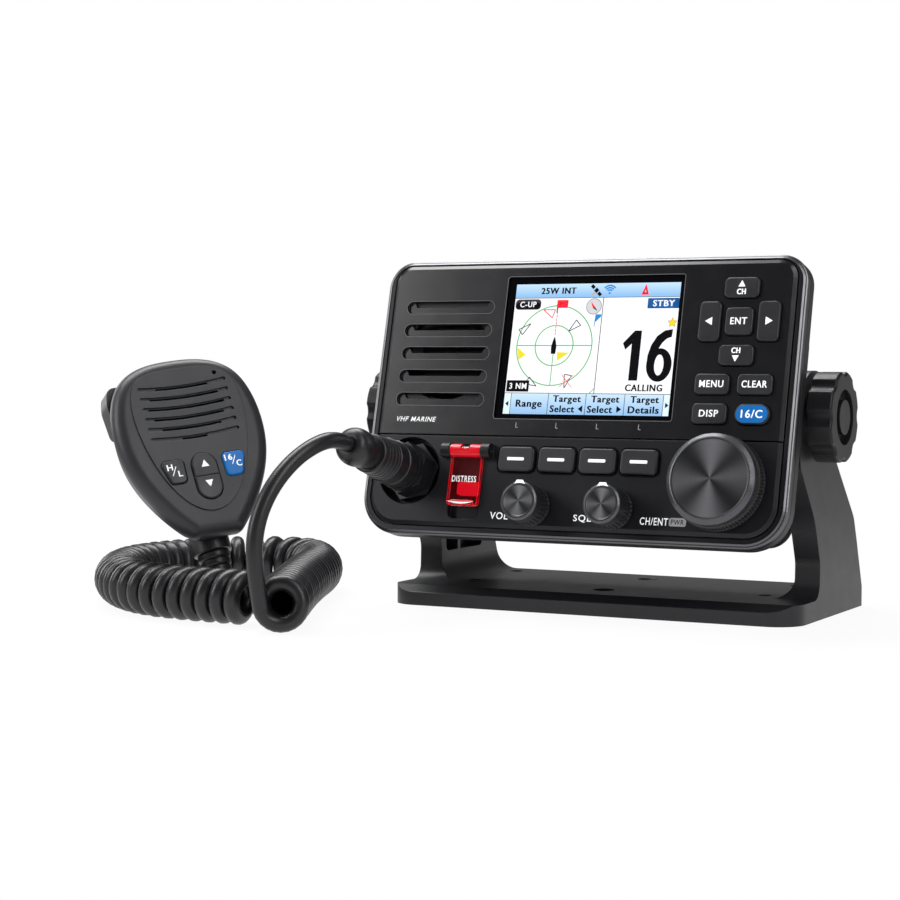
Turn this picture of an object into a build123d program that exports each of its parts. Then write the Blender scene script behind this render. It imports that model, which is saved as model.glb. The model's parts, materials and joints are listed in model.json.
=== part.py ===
from build123d import *
import math
import os

# VHF marine radio in a tilting bracket, with a hand microphone on a curly cord.
#
# Millimetres. +X is to the right, +Z is up and the front panel looks towards -Y. The
# origin is the middle of the bracket's underside, which stands on the table.
# The radio is drawn on its own plane, called face: x to the right, y up the panel and
# z out of the panel. The hand microphone is drawn on a plane of its own, called grip.

os.makedirs("parts", exist_ok=True)

# Clearances ------------------------------------------------------------------
RUN = 0.05            # radial gap round a shaft that turns
GUIDE = 0.25          # gap round a key in its opening
SEAT = 0.1            # gap between faces that rest on each other
FIT = 0.15            # gap round a panel or lens in its recess

# Bracket ---------------------------------------------------------------------
BRACKET_DEPTH = 85.0
BASE_THICK = 8.0
ARM_THICK = 10.0
ARM_ROOT_RADIUS = 8.0
BASE_CORNER = 12.0
BASE_FRONT_EDGE = 5.4         # height of the base's front face under its bevel
BASE_BEVEL = 5.2              # depth of that bevel
PIVOT_Y = -22.0
PIVOT_Z = 78.5
ARM_TOP_RADIUS = 17.5
POCKET_DEPTH = 6.0
POCKET_FLOOR = 19.5           # height of the pocket's lower edge
POCKET_TOP = 55.5
ARM_RIM = 4.0                 # wall left round the pocket
RIB_THICK = 2.4
RIB_Y = 2.5
SCREW_HOLE_RADIUS = 2.75
OUTER_HOLES_X = 127.0
OUTER_HOLES_Y = 40.0
OUTER_HOLES_MID_Y = 11.0
MIDDLE_HOLES_Y = 47.0
MIDDLE_HOLES_MID_Y = 3.0
COUNTERSINK_RADIUS = 4.6

# Clamp knobs -----------------------------------------------------------------
STUD_RADIUS = 2.5
STUD_PLAY = 0.25              # gap round a stud in its arm and pad
STUD_GRIP = 14.0              # length of thread inside the radio's boss
STUD_CAP = 2.0                # plastic over the end of a stud
KNOB_RADIUS = 17.4
KNOB_THICK = 9.6
KNOB_LOBES = 8
KNOB_FLUTE_RADIUS = 4.4
KNOB_FLUTE_CENTRE = 20.4
KNOB_DISH_RADIUS = 10.5
KNOB_DISH_DEPTH = 2.6
KNOB_BOSS_RADIUS = 6.6
WASHER_RADIUS = 9.0
WASHER_THICK = 2.2
PAD_RADIUS = 12.0
PAD_THICK = 1.6

# Radio: panel ----------------------------------------------------------------
TILT_BACK = 14.2              # degrees, at rest
PIVOT_DEPTH = 28.5            # from the panel's face back to the tilt axis
PANEL_WIDTH = 178.0
PANEL_HEIGHT = 112.4
PANEL_TOP_RADIUS = 11.0
PANEL_BOTTOM_RADIUS = 16.0
PANEL_EDGE_ROUND = 1.8
RING_DROP = 1.0               # the outer ring lies this far behind the face
SIDE_MARGIN = 3.9             # from the panel's edge to the fascia's edge
TOP_MARGIN = 2.3
BOTTOM_MARGIN = 3.9
BEVEL_WIDE = 1.5
BEVEL_DEEP = 0.8
GROOVE = 0.6
SPLIT_Y = -16.0               # line between upper and lower fascia
SPLIT_GAP = 0.7
FASCIA_THICK = 2.2
FRONT_DEPTH = 4.6             # back of the front shell
GASKET_THICK = 0.5
GASKET_INSET = 0.7
BAND_DEPTH = 10.6             # back of the rear shell's shoulder
BODY_WIDTH = 142.0
BODY_HEIGHT = 92.0
BODY_RADIUS = 10.0
BODY_REAR_ROUND = 8.0
BODY_DEPTH = 70.0
BODY_WALL = 3.0
SHOULDER_WALL = 2.0
FIN_HEIGHT = 5.0
FIN_THICK = 2.0
FIN_COUNT = 7
FIN_PITCH = 9.0
FIN_INSET = 14.0              # from the body's upper and lower sides
BOSS_RADIUS = 13.0
BOSS_RISE = 4.3               # how far the side bosses stand out of the body
BOSS_FLOOR = 1.0              # metal behind the end of a stud
HOUSING_GAP = 0.3             # round the speaker's magnet and the encoders

# Radio: display and speaker --------------------------------------------------
WINDOW_X = 3.3
WINDOW_Y = 19.9
WINDOW_WIDTH = 74.8
WINDOW_HEIGHT = 57.5
LENS_DROP = 0.9
LENS_THICK = 1.2
DISPLAY_EXTRA = 3.0           # how much larger the display's frame is than its window
DISPLAY_THICK = 4.0
SLOT_X = -58.9
SLOT_TOP_Y = 36.4
SLOT_PITCH = 9.45
SLOT_COUNT = 5
SLOT_LENGTH = 39.2
SLOT_HEIGHT = 5.1
SLOT_DEPTH = 1.3
SLOT_MOUTH_LENGTH = 34.0
SLOT_MOUTH_HEIGHT = 2.2
SPEAKER_RADIUS = 20.0
SPEAKER_RIM = 3.8
MAGNET_RADIUS = 8.0
MAGNET_LENGTH = 6.4

# Radio: keys -----------------------------------------------------------------
KEY_RISE = 1.5
KEY_FLANGE = 0.5
KEY_FLANGE_THICK = 0.8
KEY_ROUND = 0.7
PAD_X = 64.3                  # centre of the round of arrow keys
PAD_Y = 29.7
UP_OFFSET = 13.1
SIDE_OFFSET = 11.65
ROW_1_Y = 5.4
ROW_2_Y = -5.95
ROW_HALF_PITCH = 8.45
SMALL_KEY = (13.8, 8.0)
SIDE_KEY = (8.6, 15.6)
ENTER_KEY = (11.0, 10.8)
KEY_CORNER = 2.0
SOFTKEY = (15.2, 9.7)
SOFTKEY_X = -21.7
SOFTKEY_PITCH = 17.15
SOFTKEY_Y = -25.15
SOFTKEY_COUNT = 4

# Radio: distress guard -------------------------------------------------------
GUARD_X = -42.7
GUARD_WIDTH = 13.4
GUARD_TOP_Y = -26.0
GUARD_BOTTOM_Y = -44.4
GUARD_THICK = 1.8
GUARD_GAP = 0.4               # under the guard
GUARD_LIP = 1.8
NECK_LAP = 0.6                # the neck's reach into the plate
GUARD_LIP_RISE = 1.4
HINGE_Y = -22.5
HINGE_RISE = 2.2
KNUCKLE_RADIUS = 2.3
KNUCKLE_WIDTH = 13.4
NOTCH_WIDTH = 4.4
GUARD_PIN_RADIUS = 0.75
PIN_END_DEPTH = 0.5           # of the pin's ends inside their bosses
GUARD_BOSS_RADIUS = 3.0
GUARD_BOSS_WIDTH = 3.7
RECESS_WIDTH = 14.0
RECESS_BOTTOM_Y = -49.4
RECESS_TOP_Y = -19.6
RECESS_DEPTH = 3.0
BUTTON = (8.6, 5.2)
BUTTON_Y = -36.9
BUTTON_DROP = 0.8             # below the fascia
BUTTON_FLANGE = 0.8
SPRING_WIRE = 0.3
SPRING_RADIUS = 1.5
SPRING_TURNS = 4

# Radio: turning controls -----------------------------------------------------
SHAFT_RADIUS = 3.0
VOLUME_X = -13.0
SQUELCH_X = 21.25
SMALL_KNOB_Y = -43.6
SMALL_KNOB_RADIUS = 7.6
SMALL_SKIRT_RADIUS = 8.0
SMALL_KNOB_FRONT = 13.5
SMALL_SKIRT_FRONT = 8.5
KNOB_GAP = 1.0
DIAL_X = 63.0
DIAL_Y = -32.75
DIAL_RADIUS = 17.2
DIAL_FACE_RADIUS = 15.1
DIAL_SKIRT_RADIUS = 18.0
DIAL_SKIRT_FRONT = 8.0
DIAL_FRONT = 13.2
DIAL_GAP = 2.6
DIAL_TRAVEL = 1.0
SHAFT_SOCKET = 7.0            # depth of the hole in a knob for its shaft
ENCODER = 9.0
ENCODER_DEPTH = 7.0

# Radio: microphone socket and plug -------------------------------------------
SOCKET_X = -68.7
SOCKET_Y = -30.75
SOCKET_WELL_RADIUS = 13.6
SOCKET_WELL_DEPTH = 6.0
SOCKET_WELL_WALL = 1.6
SOCKET_NUT = 21.0             # across flats
SOCKET_NUT_TURN = 12.0        # degrees
SOCKET_NUT_THICK = 4.0
SOCKET_SLEEVE_RADIUS = 7.6
SOCKET_BORE_RADIUS = 5.8
SOCKET_SLEEVE_FRONT = 6.0
RING_NUT = 18.4               # across flats
RING_NUT_TURN = 24.0          # degrees
RING_COLLAR = 3.0             # round part in front of the hexagon
RING_BACK = -1.5
RING_FRONT = 9.0
PLUG_CORE_RADIUS = 5.7
PLUG_CORE_BACK = -3.0
PLUG_BACK_RADIUS = 9.0
PLUG_FRONT_RADIUS = 7.6
PLUG_END = 34.0
BOOT_NECK_RADIUS = 6.3
BOOT_RADIUS = 7.3
BOOT_END_RADIUS = 4.2
BOOT_WIDEST = 43.0
BOOT_END = 50.0

# Radio: inside and back ------------------------------------------------------
BOARD_THICK = 1.6
BOARD_CORNER = 2.0
BOARD_PLAY = 0.5              # gap round what passes through a board
BOARD_INSET = 6.0             # from the shell's inside to the front board
BOARD_BACK_DEPTH = 45.0
BOARD_SIDE_GAP = 10.0         # from the rear shell's inside to the main board
BOARD_TOP_GAP = 1.0
BOARD_PARTS = [(15.0, 5.0, 26.0, 26.0, 3.0), (-25.0, -18.0, 30.0, 18.0, 7.0)]   # x, y, size, rise
POST_RADIUS = 3.0
POST_INSET = 6.0              # from the main board's edges
ANTENNA_X = 45.0
POWER_X = -45.0
CONNECTOR_Y = 22.0
ANTENNA_RADIUS = 8.0
ANTENNA_LENGTH = 14.0
DATA_RADIUS = 6.0
DATA_LENGTH = 9.0
DATA_PITCH = 22.0
CASE_SCREW_RADIUS = 1.5
CASE_SCREW_HEAD_RADIUS = 2.8
CASE_SCREW_HEAD = 1.8
CASE_SCREW_X = 156.0
CASE_SCREW_Y = 92.0

# Hand microphone -------------------------------------------------------------
GRIP_POSITION = (-149.0, -96.4, 63.4)
GRIP_YAW = 52.0               # degrees to the right of straight ahead
GRIP_LEAN = 23.0              # degrees back
GRIP_ROLL = 8.0               # degrees, top to the left
GRIP_PROFILE = [(0.0, 34.8), (10.0, 34.2), (18.0, 31.9), (24.4, 27.3), (29.2, 18.0), (31.0, 6.0),
                (29.7, -7.0), (25.9, -17.5), (20.4, -27.0), (13.8, -35.6), (9.6, -40.0)]
GRIP_HEEL_RADIUS = 5.0
# How far behind the parting line, and the share of the outline that is left there
GRIP_HULL = [(0.0, 1.0), (9.0, 0.9), (17.0, 0.78), (22.0, 0.64), (24.5, 0.48)]
GRIP_PARTING = 8.0
GRIP_FRONT = 14.2
GRIP_WALL = 2.4
GRIP_FRONT_ROUND = 5.0
INSET_PROFILE = [(0.0, 29.6), (11.0, 29.2), (18.4, 26.6), (22.3, 19.0), (22.8, 8.0), (20.8, -4.0),
                 (16.8, -15.5), (12.6, -22.7), (7.2, -28.2), (0.6, -30.6)]
INSET_RISE = 0.8
GRIP_SLOT_TOP = 21.6
GRIP_SLOT_PITCH = 4.25
GRIP_SLOT_HALF = 17.8
GRIP_SLOT_HEIGHT = 1.6
GRIP_SLOT_DEPTH = 1.2
GRIP_SLOT_BEND = 150.0        # radius of their curve
GRIP_SLITS = (21.0, 28.0, 31.0, 28.5, 24.0, 9.5)
GRIP_SLIT_HEIGHT = 0.9
MIC_HOLE = (14.6, 25.8)
MIC_HOLE_RADIUS = 0.9
ROCKER = (10.6, 19.2)
ROCKER_Y = -16.5
ROCKER_GROOVE = 0.6
ROCKER_RIB = 4.0              # height of the rib that the rocker tips on
GRIP_KEY_TOP = 10.2           # widths of the two side keys
GRIP_KEY_LOW = 6.6
GRIP_KEY_HEIGHT = 9.8
GRIP_KEY_SLANT = 0.7
GRIP_KEY_X = 12.3
GRIP_KEY_Y = -13.1
GRIP_KEY_RISE = 0.9
PTT_BOTTOM = 9.0
PTT_TOP = 29.0
PTT_OUT = 28.6
PTT_IN = 17.5
PTT_BACK = -5.0
PTT_FRONT = 4.0
PTT_FLANGE_TOP = 20.0
PTT_FLANGE = 0.8
PTT_FLANGE_THICK = 2.0
RELIEF_DEPTH = -1.0
RELIEF_RADIUS = 7.6
RELIEF_START = 33.0
RELIEF_COLLAR = 43.5
RELIEF_END = 55.0
RELIEF_END_RADIUS = 4.4
RELIEF_RIBS = 4
GRIP_BOARD = (34.0, 48.0)
GRIP_BOARD_Y = -1.0
GRIP_BOARD_GAP = 0.7          # behind the keys
HANGER_Y = 4.0
HANGER_RADIUS = 5.5
HANGER_NECK_RADIUS = 3.2
HANGER_NECK = 3.0
HANGER_HEAD = 2.2

# Cord ------------------------------------------------------------------------
CORD_DIAMETER = 6.3
COIL_DIAMETER = 21.2
COIL_HEIGHT = COIL_DIAMETER / 2
COIL_POINTS = [(-74.4, -144.8), (-95.0, -103.5), (-114.0, -62.0), (-131.0, -21.0), (-154.0, 6.5),
               (-184.0, -3.5), (-199.0, -36.0), (-197.5, -70.0), (-179.5, -101.0),
               (-155.0, -121.5), (-127.0, -130.5), (-98.0, -131.0)]
LEAD_POINTS = [(-70.8, -124.0, 69.0), (-75.2, -134.5, 63.0), (-79.2, -143.8, 53.0),
               (-81.8, -149.6, 40.5), (-82.3, -150.9, 26.0), (-81.1, -148.2, 10.6)]
LEAD_FIRST = 9.0              # first run of the lead, straight out of the boot
SHORT_LEAD_FIRST = 6.5
SHORT_LEAD_POINTS = [(-119.5, -105.2, 3.7), (-111.5, -106.2, 3.7), (-103.6, -109.6, 6.4),
                     (-98.6, -116.4, 10.9), (-97.1, -124.2, 15.9), (-97.8, -131.0, 18.1)]

# Planes ----------------------------------------------------------------------
base_half = BRACKET_DEPTH / 2
tilt = Location((0, PIVOT_Y, PIVOT_Z)) * Location((0, 0, 0), (90 - TILT_BACK, 0, 0))
face = Plane(tilt * Location((0, 0, PIVOT_DEPTH)))
facing = Axis(face.origin, face.z_dir)
grip_turn = Location((0, 0, 0), (0, 0, GRIP_YAW)) * Location((0, 0, 0), (90 - GRIP_LEAN, 0, 0))
grip = Plane(Location(GRIP_POSITION) * grip_turn * Location((0, 0, 0), (0, 0, GRIP_ROLL)))


# Flat shapes -----------------------------------------------------------------
def rounded(left, right, bottom, top, bottom_radius, top_radius):
    """A rectangle with one radius at its lower corners and another at its upper ones."""
    with BuildSketch(Plane.XY, mode=Mode.PRIVATE) as shape:
        with Locations(((left + right) / 2, (bottom + top) / 2)):
            Rectangle(right - left, top - bottom)
        fillet(shape.vertices().group_by(Axis.Y)[-1], top_radius)
        fillet(shape.vertices().group_by(Axis.Y)[0], bottom_radius)
    return shape.sketch


def block(x, y, width, height, radius=0.0):
    """A rectangle round a centre."""
    with BuildSketch(Plane.XY, mode=Mode.PRIVATE) as shape:
        with Locations((x, y)):
            if radius > 0:
                RectangleRounded(width, height, radius)
            else:
                Rectangle(width, height)
    return shape.sketch


def disc(x, y, radius):
    with BuildSketch(Plane.XY, mode=Mode.PRIVATE) as shape:
        with Locations((x, y)):
            Circle(radius)
    return shape.sketch


def hexagon(x, y, across_flats, turn=0.0):
    with BuildSketch(Plane.XY, mode=Mode.PRIVATE) as shape:
        with Locations((x, y)):
            RegularPolygon(across_flats / 2, 6, major_radius=False, rotation=turn)
    return shape.sketch


def slab(plane, shape, back, front, mode=Mode.ADD):
    """Fills a flat shape between two heights over a plane, in the part under way."""
    with BuildSketch(plane.offset(back), mode=Mode.PRIVATE) as lifted:
        add(shape)
    extrude(lifted.sketch, amount=front - back, mode=mode)


def panel_shape(inset=0.0):
    half = PANEL_WIDTH / 2 - inset
    rise = PANEL_HEIGHT / 2 - inset
    return rounded(-half, half, -rise, rise, PANEL_BOTTOM_RADIUS - inset, PANEL_TOP_RADIUS - inset)


fascia_half = PANEL_WIDTH / 2 - SIDE_MARGIN
fascia_top = PANEL_HEIGHT / 2 - TOP_MARGIN
fascia_bottom = -PANEL_HEIGHT / 2 + BOTTOM_MARGIN
fascia_top_radius = PANEL_TOP_RADIUS - SIDE_MARGIN
fascia_bottom_radius = PANEL_BOTTOM_RADIUS - SIDE_MARGIN
split_low = SPLIT_Y - SPLIT_GAP / 2
split_high = SPLIT_Y + SPLIT_GAP / 2

all_fascia = rounded(-fascia_half - GROOVE, fascia_half + GROOVE, fascia_bottom - GROOVE,
                     fascia_top + GROOVE, fascia_bottom_radius + GROOVE, fascia_top_radius + GROOVE)
fascia_shape = rounded(-fascia_half, fascia_half, fascia_bottom, fascia_top,
                       fascia_bottom_radius, fascia_top_radius)
above_split = rounded(-PANEL_WIDTH, PANEL_WIDTH, split_low, PANEL_HEIGHT, 0.1, 0.1)
below_split = rounded(-PANEL_WIDTH, PANEL_WIDTH, -PANEL_HEIGHT, split_high, 0.1, 0.1)
window_shape = block(WINDOW_X, WINDOW_Y, WINDOW_WIDTH, WINDOW_HEIGHT, 1.0)
display_width = WINDOW_WIDTH + DISPLAY_EXTRA
display_height = WINDOW_HEIGHT + DISPLAY_EXTRA

panel_keys = {
    "key_up": (PAD_X, PAD_Y + UP_OFFSET, SMALL_KEY),
    "key_left": (PAD_X - SIDE_OFFSET, PAD_Y, SIDE_KEY),
    "key_ent": (PAD_X, PAD_Y, ENTER_KEY),
    "key_right": (PAD_X + SIDE_OFFSET, PAD_Y, SIDE_KEY),
    "key_down": (PAD_X, PAD_Y - UP_OFFSET, SMALL_KEY),
    "key_menu": (PAD_X - ROW_HALF_PITCH, ROW_1_Y, SMALL_KEY),
    "key_clear": (PAD_X + ROW_HALF_PITCH, ROW_1_Y, SMALL_KEY),
    "key_disp": (PAD_X - ROW_HALF_PITCH, ROW_2_Y, SMALL_KEY),
    "key_16": (PAD_X + ROW_HALF_PITCH, ROW_2_Y, SMALL_KEY),
}
softkeys = {}
for number in range(SOFTKEY_COUNT):
    softkeys[f"softkey_{number + 1}"] = (SOFTKEY_X + number * SOFTKEY_PITCH, SOFTKEY_Y, SOFTKEY)


def key_corner(name, size):
    """The channel 16 key is a stadium; the others have small corners."""
    return size[1] / 2 - 0.1 if name == "key_16" else KEY_CORNER


def opening(name, place, extra):
    x, y, size = place
    return block(x, y, size[0] + 2 * extra, size[1] + 2 * extra, key_corner(name, size) + extra)


# Bracket ---------------------------------------------------------------------
boss_end = BODY_WIDTH / 2 + BOSS_RISE
arm_inner = boss_end + SEAT + PAD_THICK
half_width = arm_inner + ARM_THICK
arm_outline = [(base_half, 0), (base_half, BASE_THICK), (34.5, 28.0), (30.5, 37.0), (4.0, 62.5),
               (PIVOT_Y + ARM_TOP_RADIUS, PIVOT_Z),
               (PIVOT_Y + ARM_TOP_RADIUS, PIVOT_Z + ARM_TOP_RADIUS),
               (PIVOT_Y - ARM_TOP_RADIUS, PIVOT_Z + ARM_TOP_RADIUS),
               (PIVOT_Y - ARM_TOP_RADIUS, 68.0), (-37.6, 59.5), (-20.0, 39.0), (-13.0, 22.0),
               (-13.5, BASE_THICK), (-base_half + BASE_BEVEL, BASE_THICK),
               (-base_half, BASE_FRONT_EDGE), (-base_half, 0)]
arm_radii = [0, 0, 10, 10, 14, 6, ARM_TOP_RADIUS - 0.6, ARM_TOP_RADIUS - 0.6,
             8, 8, 30, 8, 6, 0.5, 0.5, 0]
pocket_outline = [(24.0, POCKET_FLOOR), (24.0, 34.0), (0.0, POCKET_TOP), (-24.0, POCKET_TOP),
                  (-13.0 + ARM_RIM - 1, 36.0), (-13.0 + ARM_RIM, POCKET_FLOOR)]

with BuildPart() as bracket:
    with BuildSketch(Plane.XZ.offset(-base_half)):
        with BuildLine():
            FilletPolyline((-half_width, 0), (half_width, 0), (half_width, PIVOT_Z + 30),
                           (arm_inner, PIVOT_Z + 30), (arm_inner, BASE_THICK),
                           (-arm_inner, BASE_THICK), (-arm_inner, PIVOT_Z + 30),
                           (-half_width, PIVOT_Z + 30), close=True,
                           radius=[0, 0, 0, 0, ARM_ROOT_RADIUS, ARM_ROOT_RADIUS, 0, 0])
        make_face()
    extrude(amount=BRACKET_DEPTH)
    with BuildSketch(Plane.YZ.offset(-half_width)):
        with BuildLine():
            FilletPolyline(*arm_outline, close=True, radius=arm_radii)
        make_face()
    extrude(amount=2 * half_width, mode=Mode.INTERSECT)
    with BuildSketch(Plane.XY, mode=Mode.PRIVATE) as corners:
        for side in (-1, 1):
            corner_x = side * (half_width - BASE_CORNER)
            with Locations((corner_x + side * BASE_CORNER / 2, -base_half + BASE_CORNER / 2)):
                Rectangle(BASE_CORNER, BASE_CORNER)
            with Locations((corner_x, -base_half + BASE_CORNER)):
                Circle(BASE_CORNER, mode=Mode.SUBTRACT)
    slab(Plane.XY, corners.sketch, 0, BASE_THICK, Mode.SUBTRACT)
    for side in (-1, 1):
        with BuildSketch(Plane.YZ.offset(side * arm_inner)):
            with BuildLine():
                FilletPolyline(*pocket_outline, close=True, radius=2.0)
            make_face()
            with Locations((RIB_Y, (POCKET_FLOOR + POCKET_TOP) / 2)):
                Rectangle(RIB_THICK, POCKET_TOP - POCKET_FLOOR, mode=Mode.SUBTRACT)
        extrude(amount=side * POCKET_DEPTH, mode=Mode.SUBTRACT)
    with BuildSketch(Plane.YZ):
        with Locations((PIVOT_Y, PIVOT_Z)):
            Circle(STUD_RADIUS + STUD_PLAY)
    extrude(amount=half_width, both=True, mode=Mode.SUBTRACT)
    with Locations((0, OUTER_HOLES_MID_Y, BASE_THICK)):
        with GridLocations(OUTER_HOLES_X, OUTER_HOLES_Y, 2, 2):
            Hole(SCREW_HOLE_RADIUS, BASE_THICK)
    with Locations((0, MIDDLE_HOLES_MID_Y, BASE_THICK)):
        with GridLocations(1, MIDDLE_HOLES_Y, 1, 2):
            CounterSinkHole(SCREW_HOLE_RADIUS, COUNTERSINK_RADIUS, BASE_THICK)
bracket.part.label = "bracket"
export_step(bracket.part, "parts/bracket.step")

# Pads between the arms and the radio, and the clamp knobs --------------------
with BuildPart() as friction_pads:
    for side in (-1, 1):
        with BuildSketch(Plane.YZ.offset(side * arm_inner)):
            with Locations((PIVOT_Y, PIVOT_Z)):
                Circle(PAD_RADIUS)
                Circle(STUD_RADIUS + STUD_PLAY, mode=Mode.SUBTRACT)
        extrude(amount=-side * PAD_THICK)
friction_pads.part.label = "friction_pads"
export_step(friction_pads.part, "parts/friction_pads.step")

knob_back = half_width + WASHER_THICK + 2 * SEAT

for side, name in ((-1, "left"), (1, "right")):
    outward = Plane((0, PIVOT_Y, PIVOT_Z), x_dir=(0, side, 0), z_dir=(side, 0, 0))
    with BuildPart(outward) as washer:
        with BuildSketch(outward.offset(half_width + SEAT)):
            Circle(WASHER_RADIUS)
            Circle(STUD_RADIUS + RUN, mode=Mode.SUBTRACT)
        extrude(amount=WASHER_THICK)
    washer.part.label = f"knob_{name}_washer"
    export_step(washer.part, f"parts/knob_{name}_washer.step")

    with BuildPart(outward) as stud:
        with BuildSketch(outward.offset(boss_end - STUD_GRIP)):
            Circle(STUD_RADIUS)
        extrude(amount=knob_back - boss_end + STUD_GRIP + KNOB_THICK - KNOB_DISH_DEPTH - STUD_CAP)
    stud.part.label = f"knob_{name}_stud"
    export_step(stud.part, f"parts/knob_{name}_stud.step")

    with BuildPart(outward) as knob:
        with BuildSketch(outward.offset(knob_back)):
            Circle(KNOB_RADIUS)
            with PolarLocations(KNOB_FLUTE_CENTRE, KNOB_LOBES):
                Circle(KNOB_FLUTE_RADIUS, mode=Mode.SUBTRACT)
        extrude(amount=KNOB_THICK)
        rim = knob.edges().filter_by(Axis.X).group_by(SortBy.LENGTH)[-1]
        fillet(rim, 1.2)
        fillet(knob.faces().sort_by(Axis((0, 0, 0), (side, 0, 0)))[-1].edges(), 1.0)
        with BuildSketch(outward.offset(knob_back + KNOB_THICK)):
            Circle(KNOB_DISH_RADIUS)
            Circle(KNOB_BOSS_RADIUS, mode=Mode.SUBTRACT)
        extrude(amount=-KNOB_DISH_DEPTH, mode=Mode.SUBTRACT)
        with BuildSketch(outward.offset(knob_back)):
            Circle(STUD_RADIUS)
        extrude(amount=KNOB_THICK - KNOB_DISH_DEPTH - STUD_CAP, mode=Mode.SUBTRACT)
    knob.part.label = f"knob_{name}"
    export_step(knob.part, f"parts/knob_{name}.step")

# Rear shell ------------------------------------------------------------------
band_front = -FRONT_DEPTH - GASKET_THICK
display_front = -FASCIA_THICK - SEAT
display_back = display_front - DISPLAY_THICK
board_front = display_back - SEAT
board_back = board_front - BOARD_THICK
shaft_back = board_back - SEAT
encoder_back = shaft_back - SEAT - ENCODER_DEPTH
speaker_y = SLOT_TOP_Y - (SLOT_COUNT - 1) / 2 * SLOT_PITCH
speaker_front = -FRONT_DEPTH - SEAT
magnet_back = speaker_front - SPEAKER_RIM - MAGNET_LENGTH
controls = ((VOLUME_X, SMALL_KNOB_Y), (SQUELCH_X, SMALL_KNOB_Y), (DIAL_X, DIAL_Y))
board_width = BODY_WIDTH - 2 * BODY_WALL - 2 * BOARD_SIDE_GAP
board_height = BODY_HEIGHT - 2 * BODY_WALL - 2 * BOARD_TOP_GAP
boss_depth = STUD_GRIP + BOSS_FLOOR


def housings(extra):
    """Shapes round the speaker's magnet and the encoders, each with its depth."""
    found = [(disc(SLOT_X, speaker_y, MAGNET_RADIUS + extra), magnet_back - extra)]
    for x, y in controls:
        found.append((block(x, y, ENCODER + 2 * extra, ENCODER + 2 * extra), encoder_back - extra))
    return found


with BuildPart(face) as rear_case:
    slab(face, panel_shape(), -BAND_DEPTH, band_front)
    fillet(rear_case.faces().sort_by(facing)[0].edges(), PANEL_EDGE_ROUND)
    body_shape = block(0, 0, BODY_WIDTH, BODY_HEIGHT, BODY_RADIUS)
    slab(face, body_shape, -BODY_DEPTH, -BAND_DEPTH)
    fillet(rear_case.faces().sort_by(facing)[0].edges(), BODY_REAR_ROUND)
    with BuildSketch(face.offset(-BODY_DEPTH)):
        with GridLocations(FIN_PITCH, 1, FIN_COUNT, 1):
            RectangleRounded(FIN_THICK, BODY_HEIGHT - 2 * FIN_INSET, FIN_THICK / 2 - 0.05)
    extrude(amount=-FIN_HEIGHT)
    for housing, housing_back in housings(HOUSING_GAP + BODY_WALL):
        slab(face, housing, housing_back, -BAND_DEPTH)
    for side in (-1, 1):
        with BuildSketch(Plane.YZ.offset(side * boss_end)):
            with Locations((PIVOT_Y, PIVOT_Z)):
                Circle(BOSS_RADIUS)
        extrude(amount=-side * (BOSS_RISE + boss_depth))
    slab(face, panel_shape(BODY_WALL), -BAND_DEPTH + SHOULDER_WALL, band_front, Mode.SUBTRACT)
    cavity = block(0, 0, BODY_WIDTH - 2 * BODY_WALL, BODY_HEIGHT - 2 * BODY_WALL, BODY_RADIUS - BODY_WALL)
    with BuildSketch(Plane.XY, mode=Mode.PRIVATE) as side_bosses:
        with Locations((BODY_WIDTH / 2, 0), (-BODY_WIDTH / 2, 0)):
            Rectangle(2 * boss_depth, 2 * BOSS_RADIUS)
    slab(face, cavity, -BAND_DEPTH, band_front, Mode.SUBTRACT)
    slab(face, cavity - side_bosses.sketch, -BODY_DEPTH + BODY_WALL, -BAND_DEPTH, Mode.SUBTRACT)
    slab(face, cavity, -PIVOT_DEPTH + BOSS_RADIUS, -BAND_DEPTH, Mode.SUBTRACT)
    slab(face, cavity, -BODY_DEPTH + BODY_WALL, -PIVOT_DEPTH - BOSS_RADIUS, Mode.SUBTRACT)
    for housing, housing_back in housings(HOUSING_GAP):
        slab(face, housing, housing_back, -BAND_DEPTH + SHOULDER_WALL, Mode.SUBTRACT)
    for side in (-1, 1):
        with BuildSketch(Plane.YZ.offset(side * boss_end)):
            with Locations((PIVOT_Y, PIVOT_Z)):
                Circle(STUD_RADIUS + RUN)
        extrude(amount=-side * (STUD_GRIP + SEAT), mode=Mode.SUBTRACT)
    posts_x = board_width / 2 - POST_INSET
    posts_y = board_height / 2 - POST_INSET
    board_posts = [(x * posts_x, y * posts_y) for x in (-1, 1) for y in (-1, 1)]
    with BuildSketch(face.offset(-BODY_DEPTH + BODY_WALL - 0.5)):
        with Locations(*board_posts):
            Circle(POST_RADIUS)
    extrude(amount=BODY_DEPTH - BODY_WALL + 0.5 - BOARD_BACK_DEPTH - BOARD_THICK)
    with BuildSketch(face.offset(-BAND_DEPTH)):
        with GridLocations(CASE_SCREW_X, CASE_SCREW_Y, 2, 2):
            Circle(CASE_SCREW_RADIUS + SEAT)
    extrude(amount=BAND_DEPTH, mode=Mode.SUBTRACT)
    with BuildSketch(face.offset(-BODY_DEPTH)):
        with Locations((ANTENNA_X, CONNECTOR_Y)):
            Circle(ANTENNA_RADIUS - 2)
        with Locations((POWER_X, CONNECTOR_Y), (POWER_X, CONNECTOR_Y - DATA_PITCH),
                       (POWER_X, CONNECTOR_Y - 2 * DATA_PITCH)):
            Circle(DATA_RADIUS - 2)
    extrude(amount=BODY_WALL, mode=Mode.SUBTRACT)
rear_case.part.label = "rear_case"
export_step(rear_case.part, "parts/rear_case.step")

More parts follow.
